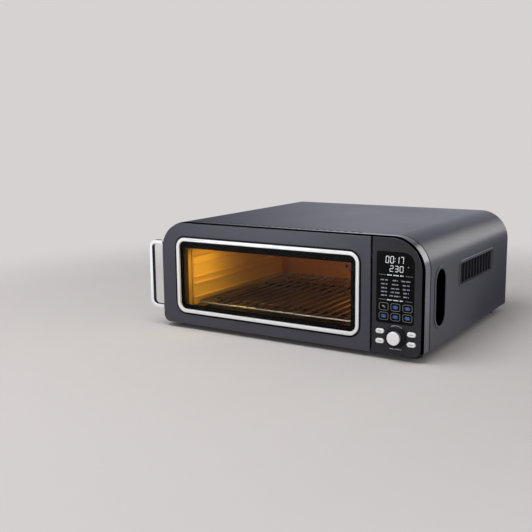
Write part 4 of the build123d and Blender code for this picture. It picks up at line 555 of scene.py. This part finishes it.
def print_line(place: Pair, length: float, height: float, pitch: float = 1.5) -> np.ndarray:
    """Line of short upright marks that stands for print.

    Widths and heights follow a golden-ratio sequence, and one place in each word is left bare.

    Args:
        place: middle of the line.
        length: full length.
        height: full height of the marks.
        pitch: spacing of the marks.

    Returns:
        Array of outlines, marks by points by two.
    """
    count = max(int(round(length / pitch)), 2)
    order = np.arange(count)
    spread = (order * WIDTH_STEP + length * LENGTH_STEP) % 1.0
    kept = order % WORD_MARKS != WORD_GAP
    width = pitch * (MARK_WIDTH[0] + MARK_WIDTH[1] * spread)
    tall = height * (MARK_HEIGHT[0] + MARK_HEIGHT[1] * ((spread * HEIGHT_STEP) % 1.0))
    unit = rounded_rectangle(1.0, 1.0, MARK_CORNER, steps=3)
    shape = unit[None] * np.stack([width, tall], axis=-1)[:, None, :]
    across = place[0] + (order - (count - 1) / 2) * length / count
    middle = np.stack([across, np.full(count, place[1])], axis=-1)
    return (shape + middle[:, None, :])[kept]


@dataclass(frozen=True)
class Face:
    """The oven's face in the shared frame: its middle across and its front."""

    middle: float
    front: float

    @classmethod
    def of_frame(cls) -> Face:
        """Read the face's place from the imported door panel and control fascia."""
        door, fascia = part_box("door_panel"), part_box("control_fascia")
        return cls((door[0].x + fascia[1].x) / 2, door[0].y)

    def points(self, across: Number, depth: Number, up: Number) -> np.ndarray:
        """Points of the oven in metres in the shared frame.

        Args:
            across: millimetres right of the face's middle.
            depth: millimetres back from the face's front.
            up: millimetres above the floor.

        Returns:
            Array of points by three.
        """
        x, y, z = np.broadcast_arrays(across, depth, up)
        return np.stack([self.middle + x * MM, self.front + y * MM, z * MM], axis=-1).reshape(-1, 3)

    def place(self, node: str) -> tuple[np.ndarray, np.ndarray]:
        """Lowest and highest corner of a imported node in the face's own millimetres.

        Args:
            node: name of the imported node.

        Returns:
            Two arrays of across, back and up.
        """
        low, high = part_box(node)
        start = np.array([self.middle, self.front, 0.0])
        return (np.array(low) - start) / MM, (np.array(high) - start) / MM

    def centre(self, node: str) -> Pair:
        """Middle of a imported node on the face: across and up."""
        low, high = self.place(node)
        return ((low[0] + high[0]) / 2, (low[2] + high[2]) / 2)


class Palette:
    """Materials made so far, one for each finish."""

    made: dict[str, bpy.types.Material] = {}

    @classmethod
    def material(cls, finish: Finish) -> bpy.types.Material:
        """Material of a finish, built the first time that it is asked for.

        Args:
            finish: look that is wanted.

        Returns:
            The one material of that finish.
        """
        if finish.name not in cls.made:
            cls.made[finish.name] = finish.material()
        return cls.made[finish.name]


def mesh_object(
    name: str, points: np.ndarray, faces: Sequence[Sequence[int]], finish: Finish
) -> bpy.types.Object:
    """Put points and faces into a new smooth-shaded object at the origin.

    Args:
        name: the piece's name.
        points: vertex array in metres.
        faces: point numbers of each face.
        finish: look of the piece.

    Returns:
        The object, linked to the scene.
    """
    mesh = bpy.data.meshes.new(name)
    mesh.from_pydata(points.tolist(), [], [list(f) for f in faces])
    mesh.polygons.foreach_set("use_smooth", np.ones(len(mesh.polygons), dtype=bool))
    mesh.set_sharp_from_angle(angle=np.radians(SHARP_ANGLE))
    mesh.update()
    piece = bpy.data.objects.new(name, mesh)
    piece.data.materials.append(Palette.material(finish))
    bpy.context.scene.collection.objects.link(piece)
    return piece


def raised_marks(
    name: str, face: Face, outlines: np.ndarray, front: float, back: float, finish: Finish
) -> bpy.types.Object:
    """Low closed prisms standing on the face, one for each outline.

    A mark's front and back rings are its outline at two depths, and quads join the rings point by point.

    Args:
        name: the piece's name.
        face: place of the oven's face.
        outlines: marks by points by two, anticlockwise.
        front: depth of the marks' fronts.
        back: depth of the surface that they stand on.
        finish: look of the marks.

    Returns:
        The object.
    """
    marks, sides, _ = outlines.shape
    depth = np.broadcast_to(np.array([front, back])[None, :, None], (marks, 2, sides))
    points = face.points(outlines[:, None, :, 0], depth, outlines[:, None, :, 1])
    index = np.arange(marks * 2 * sides).reshape(marks, 2, sides)
    after = np.roll(index, -1, axis=2)
    walls = np.stack([index[:, 0], index[:, 1], after[:, 1], after[:, 0]], axis=-1).reshape(-1, 4)
    faces = walls.tolist() + index[:, 0].tolist() + index[:, 1, ::-1].tolist()
    return mesh_object(name, points, faces, finish)


def dress(nodes: Mapping[str, bpy.types.Object], finishes: Mapping[Finish, Sequence[str]]) -> None:
    """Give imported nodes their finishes.

    Args:
        nodes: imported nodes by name.
        finishes: node names for each finish.
    """
    for finish, names in finishes.items():
        for name in names:
            for slot in nodes[name].material_slots:
                slot.material = Palette.material(finish)


def settle(piece: bpy.types.Object, body: str) -> None:
    """Make a new piece ride its body, and report it.

    Args:
        piece: the new piece.
        body: body that it moves with.
    """
    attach(piece, body)
    LOG.info("%s rides %s", piece.name, body)


# Sub-assemblies


@dataclass
class Housing:
    """Sheet-metal wrap, front frame, base, rear, grips, vent and feet."""

    nodes: Mapping[str, bpy.types.Object]
    face: Face
    gap_shade_depth: float = 8.2
    gap_shade_top_depth: float = 11.6
    gap_shade_slope: float = 0.5
    seam_shade_depth: float = 27.8
    edge_blur: float = 0.1
    rim_thickness: float = 1.0
    rim_blur: float = 0.2
    vent_wall: float = 4.0
    recess_shade_start: float = 0.3
    recess_shade_end: float = 0.1
    recess_shade_colour: str = "#484850"

    def frame_coat(self) -> Finish:
        """Coat of the frame, with painted black shade: in the gap at its front edge, deeper on top, and in
        the seam groove.

        Returns:
            The finish.
        """
        front, top = self.face.front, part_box("front_frame")[1].z
        gap_shade = front + self.gap_shade_depth * MM
        upper = front + self.gap_shade_top_depth * MM - self.gap_shade_slope * top
        seam = front + self.seam_shade_depth * MM
        blur = self.edge_blur * MM
        # Painted shade: black in the gap in front of the frame and in the seam groove behind it.
        return replace(
            FRAME_COAT,
            shades=(
                Shade((0.0, 1.0, 0.0), gap_shade + blur, gap_shade),
                Shade((0.0, 1.0, -self.gap_shade_slope), upper + blur, upper),
                Shade((0.0, 1.0, 0.0), seam, seam + blur),
            ),
        )

    def grip_coat(self, grip: str, side: int) -> Finish:
        """Coat of a grip: painted with the shell on its rim and black in its hollow.

        Args:
            grip: node of the grip.
            side: 1 on the right, -1 on the left.

        Returns:
            The finish.
        """
        low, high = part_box(grip)
        rim = (high.x if side > 0 else -low.x) - self.rim_thickness * MM
        hollow = Shade((-side, 0.0, 0.0), -rim, self.rim_blur * MM - rim)
        return replace(SHELL_COAT, name=f"painted_{grip}", shades=(hollow,))

    def vent_coat(self) -> Finish:
        """Coat of the vent: the shell's paint on its rim, and painted shade, dull and glossless, on its
        recessed bars.

        Returns:
            The finish.
        """
        slats = self.vent_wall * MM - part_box("vent_grille")[1].x
        start, end = slats - self.recess_shade_start * MM, slats - self.recess_shade_end * MM
        # Painted shade: the bars in the recess lose their gloss and take a dull colour.
        recess_shade = Shade((-1.0, 0.0, 0.0), start, end, self.recess_shade_colour)
        return replace(SHELL_COAT, name="painted_vent", shades=(recess_shade,))

    def dress(self) -> None:
        """Give the housing's pieces their finishes."""
        dress(
            self.nodes,
            {
                SHELL_COAT: ("outer_shell", "rear_panel"),
                self.vent_coat(): ("vent_grille",),
                self.frame_coat(): ("front_frame",),
                self.grip_coat("right_grip", 1): ("right_grip",),
                self.grip_coat("left_grip", -1): ("left_grip",),
                BLACK_MOULDING: ("cord_gland",),
                ZINC_STEEL: ("base_pan", "rear_screws", "foot_screws", "hinge_brackets"),
                FERRITE: ("catch_magnet",),
                FOOT_RUBBER: ("feet",),
            },
        )


@dataclass(frozen=True)
class Glow:
    """One warm lamp under the cavity's top: place across and back, watts, lean to the left, and colour."""

    name: str
    across: float
    depth: float
    watts: float
    lean: float
    colour: str


@dataclass
class Cavity:
    """Lit oven cavity with its guides, elements, lamp, probe, rack and crumb tray.

    A glow's side is in metres, and its lean to the back in degrees.
    """

    nodes: Mapping[str, bpy.types.Object]
    face: Face
    glow_size_m: float = 0.1
    glow_back: float = 20.0
    glow_clearance: float = 4.0
    bay_start: float = 0.2
    bay_end: float = 0.4
    mouth_blur: float = 1.0
    rear_blur: float = 0.1
    glows: tuple[Glow, ...] = (
        Glow("left_glow", -140.0, 60.0, 0.12, 34.0, "#ffdf5c"),
        Glow("right_glow", 80.0, 240.0, 0.22, -24.0, "#ffb23c"),
    )

    def bay_steel(self) -> Finish:
        """Steel of the right wall, whose outer face in the bay behind the vent is painted black as shade.

        Returns:
            The finish.
        """
        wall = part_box("right_rack_guide")[1].x
        # Painted shade: the wall's outer face in the bay behind the vent is black.
        bay = Shade((1.0, 0.0, 0.0), wall + self.bay_start * MM, wall + self.bay_end * MM)
        return replace(CAVITY_STEEL, name="bay_steel", shades=(bay,))

    def mouth_steel(self) -> Finish:
        """Steel of the mouth, painted dark right of the cavity as shade, where the gap beside the door shows
        it.
        """
        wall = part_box("cavity_right_wall")[1].x
        # Painted shade: the mouth is dark right of the cavity, in the gap beside the door.
        return replace(MOUTH_STEEL, shades=(Shade((1.0, 0.0, 0.0), wall, wall + self.mouth_blur * MM),))

    def rear_steel(self) -> Finish:
        """Steel of the rear wall, whose face towards the rear slots is painted dark as shade.

        Returns:
            The finish.
        """
        low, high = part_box("cavity_rear_wall")
        middle = (low.y + high.y) / 2
        # Painted shade: the wall's face towards the rear slots is dark.
        behind = Shade((0.0, 1.0, 0.0), middle, middle + self.rear_blur * MM)
        return replace(REAR_SHADE_STEEL, name="rear_steel", shades=(behind,))

    def dress(self) -> None:
        """Give the cavity's pieces their finishes."""
        dress(
            self.nodes,
            {
                CAVITY_STEEL: ("cavity_left_wall", "cavity_top"),
                GUIDE_STEEL: ("left_rack_guide", "right_rack_guide"),
                self.mouth_steel(): ("cavity_front",),
                self.bay_steel(): ("cavity_right_wall",),
                self.rear_steel(): ("cavity_rear_wall",),
                REAR_SHADE_STEEL: ("fan_grille",),
                BROWN_ENAMEL: ("cavity_floor", "crumb_tray"),
                RACK_PLATE: ("wire_rack", "temperature_probe"),
                ELEMENT_SHEATH: ("upper_elements", "lower_elements"),
                STEATITE: ("element_bushes", "lamp_socket"),
                LAMP_GLASS: ("lamp_glass",),
            },
        )

    def light(self) -> None:
        """Hang the warm lamps of the lit cavity under its top, each low enough to clear it as it leans."""
        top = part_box("cavity_top")[0].z
        for glow in self.glows:
            light = bpy.data.lights.new(glow.name, "AREA")
            light.size = self.glow_size_m
            light.energy = glow.watts
            light.color = linear(glow.colour)[:3]
            lamp = bpy.data.objects.new(glow.name, light)
            turn, tip = np.radians([glow.lean, self.glow_back])
            drop = self.glow_size_m / 2 * (np.sin(abs(turn)) + np.sin(tip)) + self.glow_clearance * MM
            lamp.location = self.face.points(glow.across, glow.depth, (top - drop) / MM)[0]
            lamp.rotation_euler = (tip, turn, 0.0)
            lamp.visible_camera = False
            bpy.context.scene.collection.objects.link(lamp)


@dataclass
class FanUnit:
    """Convection fan, its housing and motor, and the oven's two circuit boards."""

    nodes: Mapping[str, bpy.types.Object]

    def dress(self) -> None:
        """Give the fan unit's pieces their finishes."""
        dress(
            self.nodes,
            {
                ZINC_STEEL: ("fan_housing", "convection_fan", "fan_shaft", "fan_motor"),
                COPPER_COIL: ("motor_coil",),
                SOLDER_MASK: ("power_board", "display_board"),
            },
        )


class Segment(Enum):
    """Strokes of a seven-segment figure: middle over the half width and half height, and whether upright."""

    TOP = (0.0, 1.0, False)
    UPPER_RIGHT = (1.0, 0.5, True)
    LOWER_RIGHT = (1.0, -0.5, True)
    BOTTOM = (0.0, -1.0, False)
    LOWER_LEFT = (-1.0, -0.5, True)
    UPPER_LEFT = (-1.0, 0.5, True)
    MIDDLE = (0.0, 0.0, False)


UNLIT = {
    "0": (Segment.MIDDLE,),
    "1": (Segment.TOP, Segment.BOTTOM, Segment.LOWER_LEFT, Segment.UPPER_LEFT, Segment.MIDDLE),
    "2": (Segment.UPPER_LEFT, Segment.LOWER_RIGHT),
    "3": (Segment.UPPER_LEFT, Segment.LOWER_LEFT),
    "7": (Segment.LOWER_LEFT, Segment.UPPER_LEFT, Segment.MIDDLE, Segment.BOTTOM),
}


@dataclass(frozen=True)
class Figures:
    """Row of seven-segment figures on the display."""

    text: str
    left: float
    right: float
    bottom: float
    top: float
    stroke: float
    lean: float = 0.06
    half_width_share: float = 0.31
    end_gap_share: float = 0.12

    def outlines(self) -> np.ndarray:
        """Outlines of the lit strokes.

        A stroke is a hexagon: a bar with pointed ends. Upright strokes swap its two axes, each stroke is
        moved to its place in the figure, and the whole row leans by a shear of the height.

        Returns:
            Array of hexagons, strokes by six by two.
        """
        pitch = (self.right - self.left) / len(self.text)
        half_width = pitch * self.half_width_share
        half_height = (self.top - self.bottom - self.stroke) / 2
        strokes = [
            (k, segment.value)
            for k, figure in enumerate(self.text)
            for segment in Segment
            if segment not in UNLIT[figure]
        ]
        order = np.array([k for k, _ in strokes])
        share = np.array([value[:2] for _, value in strokes])
        upright = np.array([value[2] for _, value in strokes])
        reach = np.where(upright, half_height / 2, half_width) - self.stroke * self.end_gap_share
        half = self.stroke / 2
        along = np.stack([-reach, -reach + half, reach - half, reach, reach - half, -reach + half], axis=1)
        side = np.broadcast_to(np.array([0, -half, -half, 0, half, half]), along.shape)
        x = np.where(upright[:, None], -side, along) + (share[:, 0] * half_width)[:, None]
        z = np.where(upright[:, None], along, side) + (share[:, 1] * half_height)[:, None]
        x = x + self.lean * z + (self.left + (order + 0.5) * pitch)[:, None]
        return np.stack([x, z + (self.bottom + self.top) / 2], axis=-1)


@dataclass
class ControlPanel:
    """Fascia, display, dial and keys on the right of the face.

    A size of a bar is its length and height, of a line of print its length, height and pitch, and of a key's
    outline its width, height and corner radius.
    """

    nodes: Mapping[str, bpy.types.Object]
    face: Face
    light_height: float = 0.12
    line_height: float = 0.06
    ink_height: float = 0.06
    button_ink_height: float = 0.05
    figures: tuple[Figures, ...] = (
        Figures("00", 190.0, 205.4, 153.5, 164.4, 0.82),
        Figures("17", 206.8, 221.8, 153.5, 164.4, 0.82),
        Figures("230", 196.8, 221.4, 140.4, 150.0, 0.76, 0.03),
    )
    dot_places: tuple[Pair, ...] = ((206.2, 156.6), (206.5, 161.2))
    dot_size: Pair = (1.3, 1.2)
    degree_place: Pair = (228.6, 149.1)
    degree_size: Pair = (1.6, 1.5)
    heading_rows: tuple[float, ...] = (135.0, 96.0)
    heading_column: float = 207.5
    heading_size: Triple = (27.0, 1.7, 1.9)
    rule_columns: tuple[float, ...] = (186.0, 230.0)
    rule_size: Pair = (12.0, 0.5)
    list_columns: tuple[float, ...] = (188.9, 207.2, 225.2)
    list_rows: tuple[float, ...] = (126.9, 120.5, 114.2, 108.4, 102.6)
    list_height: float = 2.1
    list_lengths: tuple[tuple[float, ...], ...] = (
        (12.2, 11.0, 9.8, 10.4, 9.8),
        (8.5, 10.4, 13.4, 14.6, 18.0),
        (16.5, 11.6, 11.6, 9.1, 9.1),
    )
    key_columns: tuple[float, ...] = (188.6, 208.3, 228.1)
    key_rows: tuple[float, ...] = (85.0, 69.8)
    key_outer: Triple = (15.6, 12.0, 3.2)
    key_inner: Triple = (14.6, 11.0, 2.7)
    sign_size: Pair = (9.4, 5.6)
    sign_line_steps: tuple[Pair, ...] = ((-0.4, 1.2), (0.4, -1.2))
    sign_line_lengths: Triple = (6.4, 3.8, 5.1)
    sign_line_width: float = 0.8
    first_sign_steps: tuple[Pair, ...] = ((-1.3, 1.0), (0.2, 0.0), (1.6, -1.2))
    first_sign_lengths: Triple = (3.2, 3.6, 2.4)
    first_sign_width: float = 0.9
    tick_count: int = 8
    tick_angles: Pair = (62.0, 112.0)
    tick_reach: Pair = (18.6, 18.2)
    tick_size: Pair = (1.7, 1.1)
    dial_print_drop: float = 18.8
    dial_print_size: Triple = (20.0, 1.7, 1.6)
    buttons: tuple[str, ...] = ("upper_left", "lower_left", "upper_right", "lower_right")
    button_mark_size: Pair = (6.0, 1.2)
    cap_edge: float = 1.0
    cap_edge_steps: int = 6
    cap_crown: Triple = (0.3, 0.6, 0.85)
    cap_back_edge: float = 1.2
    rib_count: int = 44
    rib_steps: int = 6
    rib_depth: float = 0.45
    rib_shares: tuple[float, ...] = (0.3, 0.7, 1.0, 1.0, 0.6, 0.0)
    knurl_blur: float = 0.5
    knurl_colour: str = "#96969c"

    def dress(self) -> None:
        """Give the panel's solids their finishes."""
        moulded = ("control_carrier", "dial_skirt", "encoder_body", "encoder_plunger", "key_switches")
        dress(
            self.nodes,
            {
                FASCIA_COAT: ("control_fascia",),
                DISPLAY_ACRYLIC: ("display_lens",),
                BLACK_MOULDING: moulded,
                ZINC_STEEL: ("encoder_shaft",),
                SILVER_KEY: [f"{name}_button" for name in self.buttons],
            },
        )

    def on_lens(self, name: str, outlines: np.ndarray, finish: Finish) -> None:
        """Lay marks on the display lens.

        Args:
            name: the piece's name.
            outlines: marks by points by two.
            finish: look of the marks.
        """
        lens = self.face.place("display_lens")[0][1]
        marks = raised_marks(name, self.face, outlines, lens - self.light_height, lens, finish)
        settle(marks, "housing")

    def build_display(self) -> None:
        """Figures, rules, programme list and touch keys on the display."""
        figures = np.concatenate([row.outlines() for row in self.figures])
        self.on_lens("display_figures", figures, SEGMENT_LIGHT)
        length, height = self.dot_size
        self.on_lens("display_dots", bars(self.dot_places, [length, length], height), SEGMENT_LIGHT)
        length, height = self.degree_size
        self.on_lens("degree_dot", bars([self.degree_place], [length], height), LIST_LIGHT)
        places = [(across, level) for level in self.heading_rows for across in self.rule_columns]
        length, height = self.rule_size
        self.on_lens("display_rules", bars(places, [length] * len(places), height), KEY_LIGHT)
        column, size = self.heading_column, self.heading_size
        headings = [print_line((column, level), *size) for level in self.heading_rows]
        self.on_lens("display_headings", np.concatenate(headings), SEGMENT_LIGHT)
        lines = [
            print_line((across, level), length, self.list_height)
            for across, lengths in zip(self.list_columns, self.list_lengths)
            for level, length in zip(self.list_rows, lengths)
        ]
        self.on_lens("programme_lines", np.concatenate(lines), LIST_LIGHT)
        self.build_keys()

    def build_keys(self) -> None:
        """Six touch keys: a pale rounded outline round each, a grey sign in the first, blue ones after it.

        An outline is a closed loop of four rings of points: outer front, inner front, inner back and outer
        back.
        """
        places = np.array([(x, z) for z in self.key_rows for x in self.key_columns])
        lens = self.face.place("display_lens")[0][1]
        outer, inner = rounded_rectangle(*self.key_outer), rounded_rectangle(*self.key_inner)
        rings = np.stack([outer, inner, inner, outer])
        depth = lens - np.array([1, 1, 0, 0]) * self.light_height
        flat = places[:, None, None, :] + rings[None]
        points = self.face.points(flat[..., 0], depth[None, :, None], flat[..., 1])
        rows, columns = rings.shape[:2]
        quads = grid_faces(rows, columns, True, True)
        faces = (np.arange(len(places))[:, None, None] * rows * columns + quads[None]).reshape(-1, 4)
        settle(mesh_object("key_outlines", points, faces.tolist(), KEY_LIGHT), "housing")
        blue = places[1:]
        length, height = self.sign_size
        self.on_lens("key_signs", bars(blue, [length] * len(blue), height), GLYPH_LIGHT)
        marks = (blue[:, None] + np.array(self.sign_line_steps)[None]).reshape(-1, 2)
        lines = bars(marks, np.resize(self.sign_line_lengths, len(marks)), self.sign_line_width)
        sign = lens - self.light_height
        piece = raised_marks("key_lines", self.face, lines, sign - self.line_height, sign, GLYPH_LINE)
        settle(piece, "housing")
        first = places[0] + np.array(self.first_sign_steps)
        self.on_lens("first_sign", bars(first, self.first_sign_lengths, self.first_sign_width), LIST_LIGHT)

    def build_prints(self) -> None:
        """Screen-printed ticks over the dial, a line of print under it, and a faint bar on each button."""
        across, up = self.face.centre("dial_skirt")
        angle = np.radians(np.linspace(*self.tick_angles, self.tick_count))
        arc = np.array(self.tick_reach) * np.stack([np.cos(angle), np.sin(angle)], axis=-1)
        length, height = self.tick_size
        ticks = bars(arc + (across, up), [length] * self.tick_count, height)
        label = print_line((across, up - self.dial_print_drop), *self.dial_print_size)
        for name, marks in (("dial_ticks", ticks), ("dial_print", label)):
            piece = raised_marks(name, self.face, marks, -self.ink_height, 0.0, PALE_INK)
            settle(piece, "housing")
        length, height = self.button_mark_size
        for name in self.buttons:
            button = f"{name}_button"
            front = self.face.place(button)[0][1]
            mark = bars([self.face.centre(button)], [length], height)
            raised = front - self.button_ink_height
            piece = raised_marks(f"{name}_mark", self.face, mark, raised, front, GREY_INK)
            settle(piece, f"{name}_key")

    def build_cap(self) -> None:
        """Knurled cap of the dial.

        A turned surface: radius and depth follow the profile, from the middle of the crown over the edge to
        the back. On the side, the radius also dips by the rib depth times half of 1 - cos(rib count times
        angle).
        """
        low, high = self.face.place("dial_cap")
        across, up = self.face.centre("dial_cap")
        front, back, full = low[1], high[1], (high[0] - low[0]) / 2
        turn = np.linspace(0, np.pi / 2, self.cap_edge_steps)
        edge = full - self.cap_edge
        crown = edge * np.array(self.cap_crown)
        radius = np.concatenate([crown, edge + self.cap_edge * np.sin(turn), [full, full, edge]])
        depth = np.concatenate(
            [
                np.full(len(crown), front),
                front + self.cap_edge * (1 - np.cos(turn)),
                [back - self.cap_back_edge, back, back],
            ]
        )
        ribbed = np.concatenate([np.zeros(len(radius) - len(self.rib_shares)), self.rib_shares])
        angle = np.linspace(0, 2 * np.pi, self.rib_count * self.rib_steps, endpoint=False)
        dip = self.rib_depth * (1 - np.cos(self.rib_count * angle)) / 2
        around = radius[:, None] - ribbed[:, None] * dip[None]
        x, z = across + around * np.cos(angle), up + around * np.sin(angle)
        rings = self.face.points(x, depth[:, None], z)
        poles = self.face.points(across, np.array([front, back]), up)
        rows, columns = around.shape
        first = np.arange(columns)
        after = np.roll(first, -1)
        front_pole, back_pole = len(rings), len(rings) + 1
        crown_fan = np.stack([np.full(columns, front_pole), first, after], axis=-1)
        last = (rows - 1) * columns
        back_fan = np.stack([np.full(columns, back_pole), last + after, last + first], axis=-1)
        faces = grid_faces(rows, columns, False, True).tolist() + crown_fan.tolist() + back_fan.tolist()
        rim = float(poles[0][1]) + self.cap_edge * MM
        knurl = Shade((0.0, 1.0, 0.0), rim, rim + self.knurl_blur * MM, self.knurl_colour)
        spun = replace(SPUN_CAP, centre=tuple(float(c) for c in poles[0]), shades=(knurl,))
        piece = mesh_object("knurled_cap", np.concatenate([rings, poles]), faces, spun)
        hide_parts("dial_cap")
        settle(piece, "dial")


@dataclass
class Door:
    """Side-hinged glazed door with its pull.

    The clear window is given by its left, right, bottom and top.
    """

    nodes: Mapping[str, bpy.types.Object]
    face: Face
    clear: tuple[float, float, float, float] = (-209.3, 129.3, 44.7, 147.7)
    clear_radius: float = 2.0
    border_height: float = 0.12
    border_radius: float = 17.0
    trim_radius: float = 18.0
    shadow_bead_width: float = 3.2
    shadow_bead_height: float = 0.25

    def dress(self) -> None:
        """Give the door's solids their finishes."""
        dress(
            self.nodes,
            {
                FACE_COAT: ("door_panel",),
                BRIGHT_TRIM: ("window_trim",),
                CLEAR_GLASS: ("outer_glass", "inner_glass"),
                LINER_BLACK: ("door_liner",),
                BRAID: ("door_gasket",),
                ZINC_STEEL: ("catch_plate", "hinge_pins", "handle_screws"),
                CHROME: ("handle_bail",),
            },
        )

    def frame_ring(
        self, name: str, outer: Sequence[float], inner: Sequence[float], radii: Pair, depths: Pair
    ) -> bpy.types.Object:
        """Flat closed ring between two rounded rectangles.

        Four rings of points, outer front, inner front, inner back and outer back, joined in a closed loop.

        Args:
            name: the piece's name.
            outer: left, right, bottom and top of the outer rectangle.
            inner: the same of the inner one.
            radii: corner radii of the outer and the inner one.
            depths: depth of the ring's front and back.

        Returns:
            The object.
        """
        rings = []
        for (left, right, bottom, top), radius in zip((outer, inner), radii):
            outline = rounded_rectangle(right - left, top - bottom, radius)
            rings.append(outline + ((left + right) / 2, (bottom + top) / 2))
        loop = np.stack([rings[0], rings[1], rings[1], rings[0]])
        depth = np.array(depths)[[0, 0, 1, 1]]
        points = self.face.points(loop[..., 0], depth[:, None], loop[..., 1])
        faces = grid_faces(loop.shape[0], loop.shape[1], True, True)
        return mesh_object(name, points, faces.tolist(), BLACK_CERAMIC_INK)

    def trim_sides(self) -> np.ndarray:
        """Left, right, bottom and top of the window trim."""
        low, high = self.face.place("window_trim")
        return np.array([low[0], high[0], low[2], high[2]])

    def build_border(self) -> None:
        """Black border fired on the back of the outer glass."""
        back = self.face.place("outer_glass")[1][1]
        radii, depths = (self.border_radius, self.clear_radius), (back - self.border_height, back)
        border = self.frame_ring("window_border", self.trim_sides(), self.clear, radii, depths)
        settle(border, "door")

    def build_shadow_bead(self) -> None:
        """Black bead over the gap round the trim, as painted shadow of that gap."""
        trim = self.trim_sides()
        outer = trim + np.array([-1, 1, -1, 1]) * self.shadow_bead_width
        radii = (self.trim_radius + self.shadow_bead_width, self.trim_radius)
        # Painted shadow: a black bead over the gap round the trim.
        bead = self.frame_ring("trim_shadow_bead", outer, trim, radii, (-self.shadow_bead_height, 0.0))
        settle(bead, "door")


@dataclass(frozen=True)
class Softbox:
    """One square soft lamp: its place, the point that it faces, its side, watts and beam in degrees."""

    name: str
    place: Triple
    aim: Triple
    size: float
    watts: float
    beam: float = 180.0

    def hang(self) -> None:
        """Put the lamp into the scene."""
        light = bpy.data.lights.new(self.name, "AREA")
        light.size = self.size
        light.energy = self.watts
        light.spread = np.radians(self.beam)
        lamp = bpy.data.objects.new(self.name, light)
        lamp.location = self.place
        lamp.rotation_euler = (Vector(self.aim) - Vector(self.place)).to_track_quat("-Z", "Y").to_euler()
        bpy.context.scene.collection.objects.link(lamp)


@dataclass
class Studio:
    """Pale sweep of paper, soft lamps and the camera."""

    lens_mm: float = 55.525
    sensor_mm: float = 36.0
    nearest: float = 0.05
    eye: Triple = (0.71641, -1.35802, 0.36723)
    yaw: float = 32.54
    pitch: float = 9.92
    roll: float = 0.64
    sweep_half_width: float = 9.0
    sweep_front: float = -5.0
    sweep_bend: float = 2.2
    sweep_radius: float = 1.2
    sweep_steps: int = 24
    sweep_top: float = 4.0
    air_colour: str = "#f4f2f0"
    air_strength: float = 0.36
    mirrored_air_strength: float = 1.0
    lamps: tuple[Softbox, ...] = (
        Softbox("overhead_softbox", (-0.3, -0.75, 1.5), (-0.05, -0.2, 0.15), 1.2, 18.0),
        Softbox("shoulder_softbox", (0.95, 1.6, 0.72), (0.25, 0.0, 0.14), 0.9, 5.2),
        Softbox("front_fill", (0.1, -2.2, 0.45), (0.0, -0.2, 0.1), 0.7, 4.2),
        Softbox("brow_strip", (-0.4, -1.5, 0.16), (-0.06, -0.21, 0.37), 0.2, 0.3, 24.0),
    )

    def build_sweep(self) -> None:
        """Floor that curves up into a backdrop: a run, a quarter circle and an upright, carried across."""
        turn = np.linspace(0, np.pi / 2, self.sweep_steps)
        bend = self.sweep_bend + self.sweep_radius * np.sin(turn)
        run = np.concatenate([[self.sweep_front], bend, [self.sweep_bend + self.sweep_radius]])
        rise = np.concatenate([[0.0], self.sweep_radius * (1 - np.cos(turn)), [self.sweep_top]])
        across = np.array([-self.sweep_half_width, self.sweep_half_width])
        x, y = np.meshgrid(across, run)
        _, z = np.meshgrid(across, rise)
        points = np.stack([x, y, z], axis=-1).reshape(-1, 3)
        faces = grid_faces(len(run), 2)[:, ::-1]
        paper = mesh_object("studio_sweep", points, faces.tolist(), STUDIO_PAPER)

    def build_world(self) -> None:
        """Even pale light from all round, which shows as the paper's tone and in mirrors as white."""
        world = bpy.data.worlds.new("studio_air")
        world.use_nodes = True
        tree = world.node_tree
        tree.nodes.clear()
        path = add_node(tree, "ShaderNodeLightPath").outputs
        ends = {"To Min": self.air_strength, "To Max": self.mirrored_air_strength}
        strength = add_node(tree, "ShaderNodeMapRange", {"Value": path["Is Glossy Ray"], **ends}).outputs[0]
        light = {"Color": linear(self.air_colour), "Strength": strength}
        air = add_node(tree, "ShaderNodeBackground", light).outputs[0]
        paper = {"Color": linear(STUDIO_PAPER.tone_seen), "Strength": 1.0}
        seen = add_node(tree, "ShaderNodeBackground", paper).outputs[0]
        mixed = add_node(tree, "ShaderNodeMixShader", {0: path["Is Camera Ray"], 1: air, 2: seen}).outputs[0]
        add_node(tree, "ShaderNodeOutputWorld", {"Surface": mixed})
        bpy.context.scene.world = world

    def build_camera(self) -> None:
        """Camera at the matched eye point: yawed, tipped down and rolled about its own line of sight."""
        turn, tip, roll = np.radians([self.yaw, self.pitch, self.roll])
        sight = np.array([-np.sin(turn) * np.cos(tip), np.cos(turn) * np.cos(tip), -np.sin(tip)])
        level = np.array([np.cos(turn), np.sin(turn), 0.0])
        down = np.cross(sight, level)
        right = np.cos(roll) * level + np.sin(roll) * down
        below = -np.sin(roll) * level + np.cos(roll) * down
        view = bpy.data.cameras.new("camera")
        view.sensor_width = self.sensor_mm
        view.lens = self.lens_mm
        view.clip_start = self.nearest
        camera = bpy.data.objects.new("camera", view)
        axes = np.column_stack([right, -below, -sight])
        camera.matrix_world = Matrix.Translation(self.eye) @ Matrix(axes.tolist()).to_4x4()
        bpy.context.scene.collection.objects.link(camera)
        bpy.context.scene.camera = camera

    def build(self) -> None:
        """Set up paper, lamps, world and camera."""
        self.build_sweep()
        for lamp in self.lamps:
            lamp.hang()
        self.build_world()
        self.build_camera()
        bpy.context.scene.view_settings.view_transform = "Standard"


def main() -> None:
    """Build the dressed oven and its studio."""
    logging.basicConfig(level=logging.INFO, format="%(name)s: %(message)s")
    for leftover in list(bpy.data.objects):
        bpy.data.objects.remove(leftover)
    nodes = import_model()["nodes"]
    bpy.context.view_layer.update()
    face = Face.of_frame()
    Housing(nodes, face).dress()
    cavity = Cavity(nodes, face)
    cavity.dress()
    cavity.light()
    FanUnit(nodes).dress()
    panel = ControlPanel(nodes, face)
    panel.dress()
    panel.build_display()
    panel.build_prints()
    panel.build_cap()
    door = Door(nodes, face)
    door.dress()
    door.build_border()
    door.build_shadow_bead()
    Studio().build()


if __name__ == "__main__":
    main()
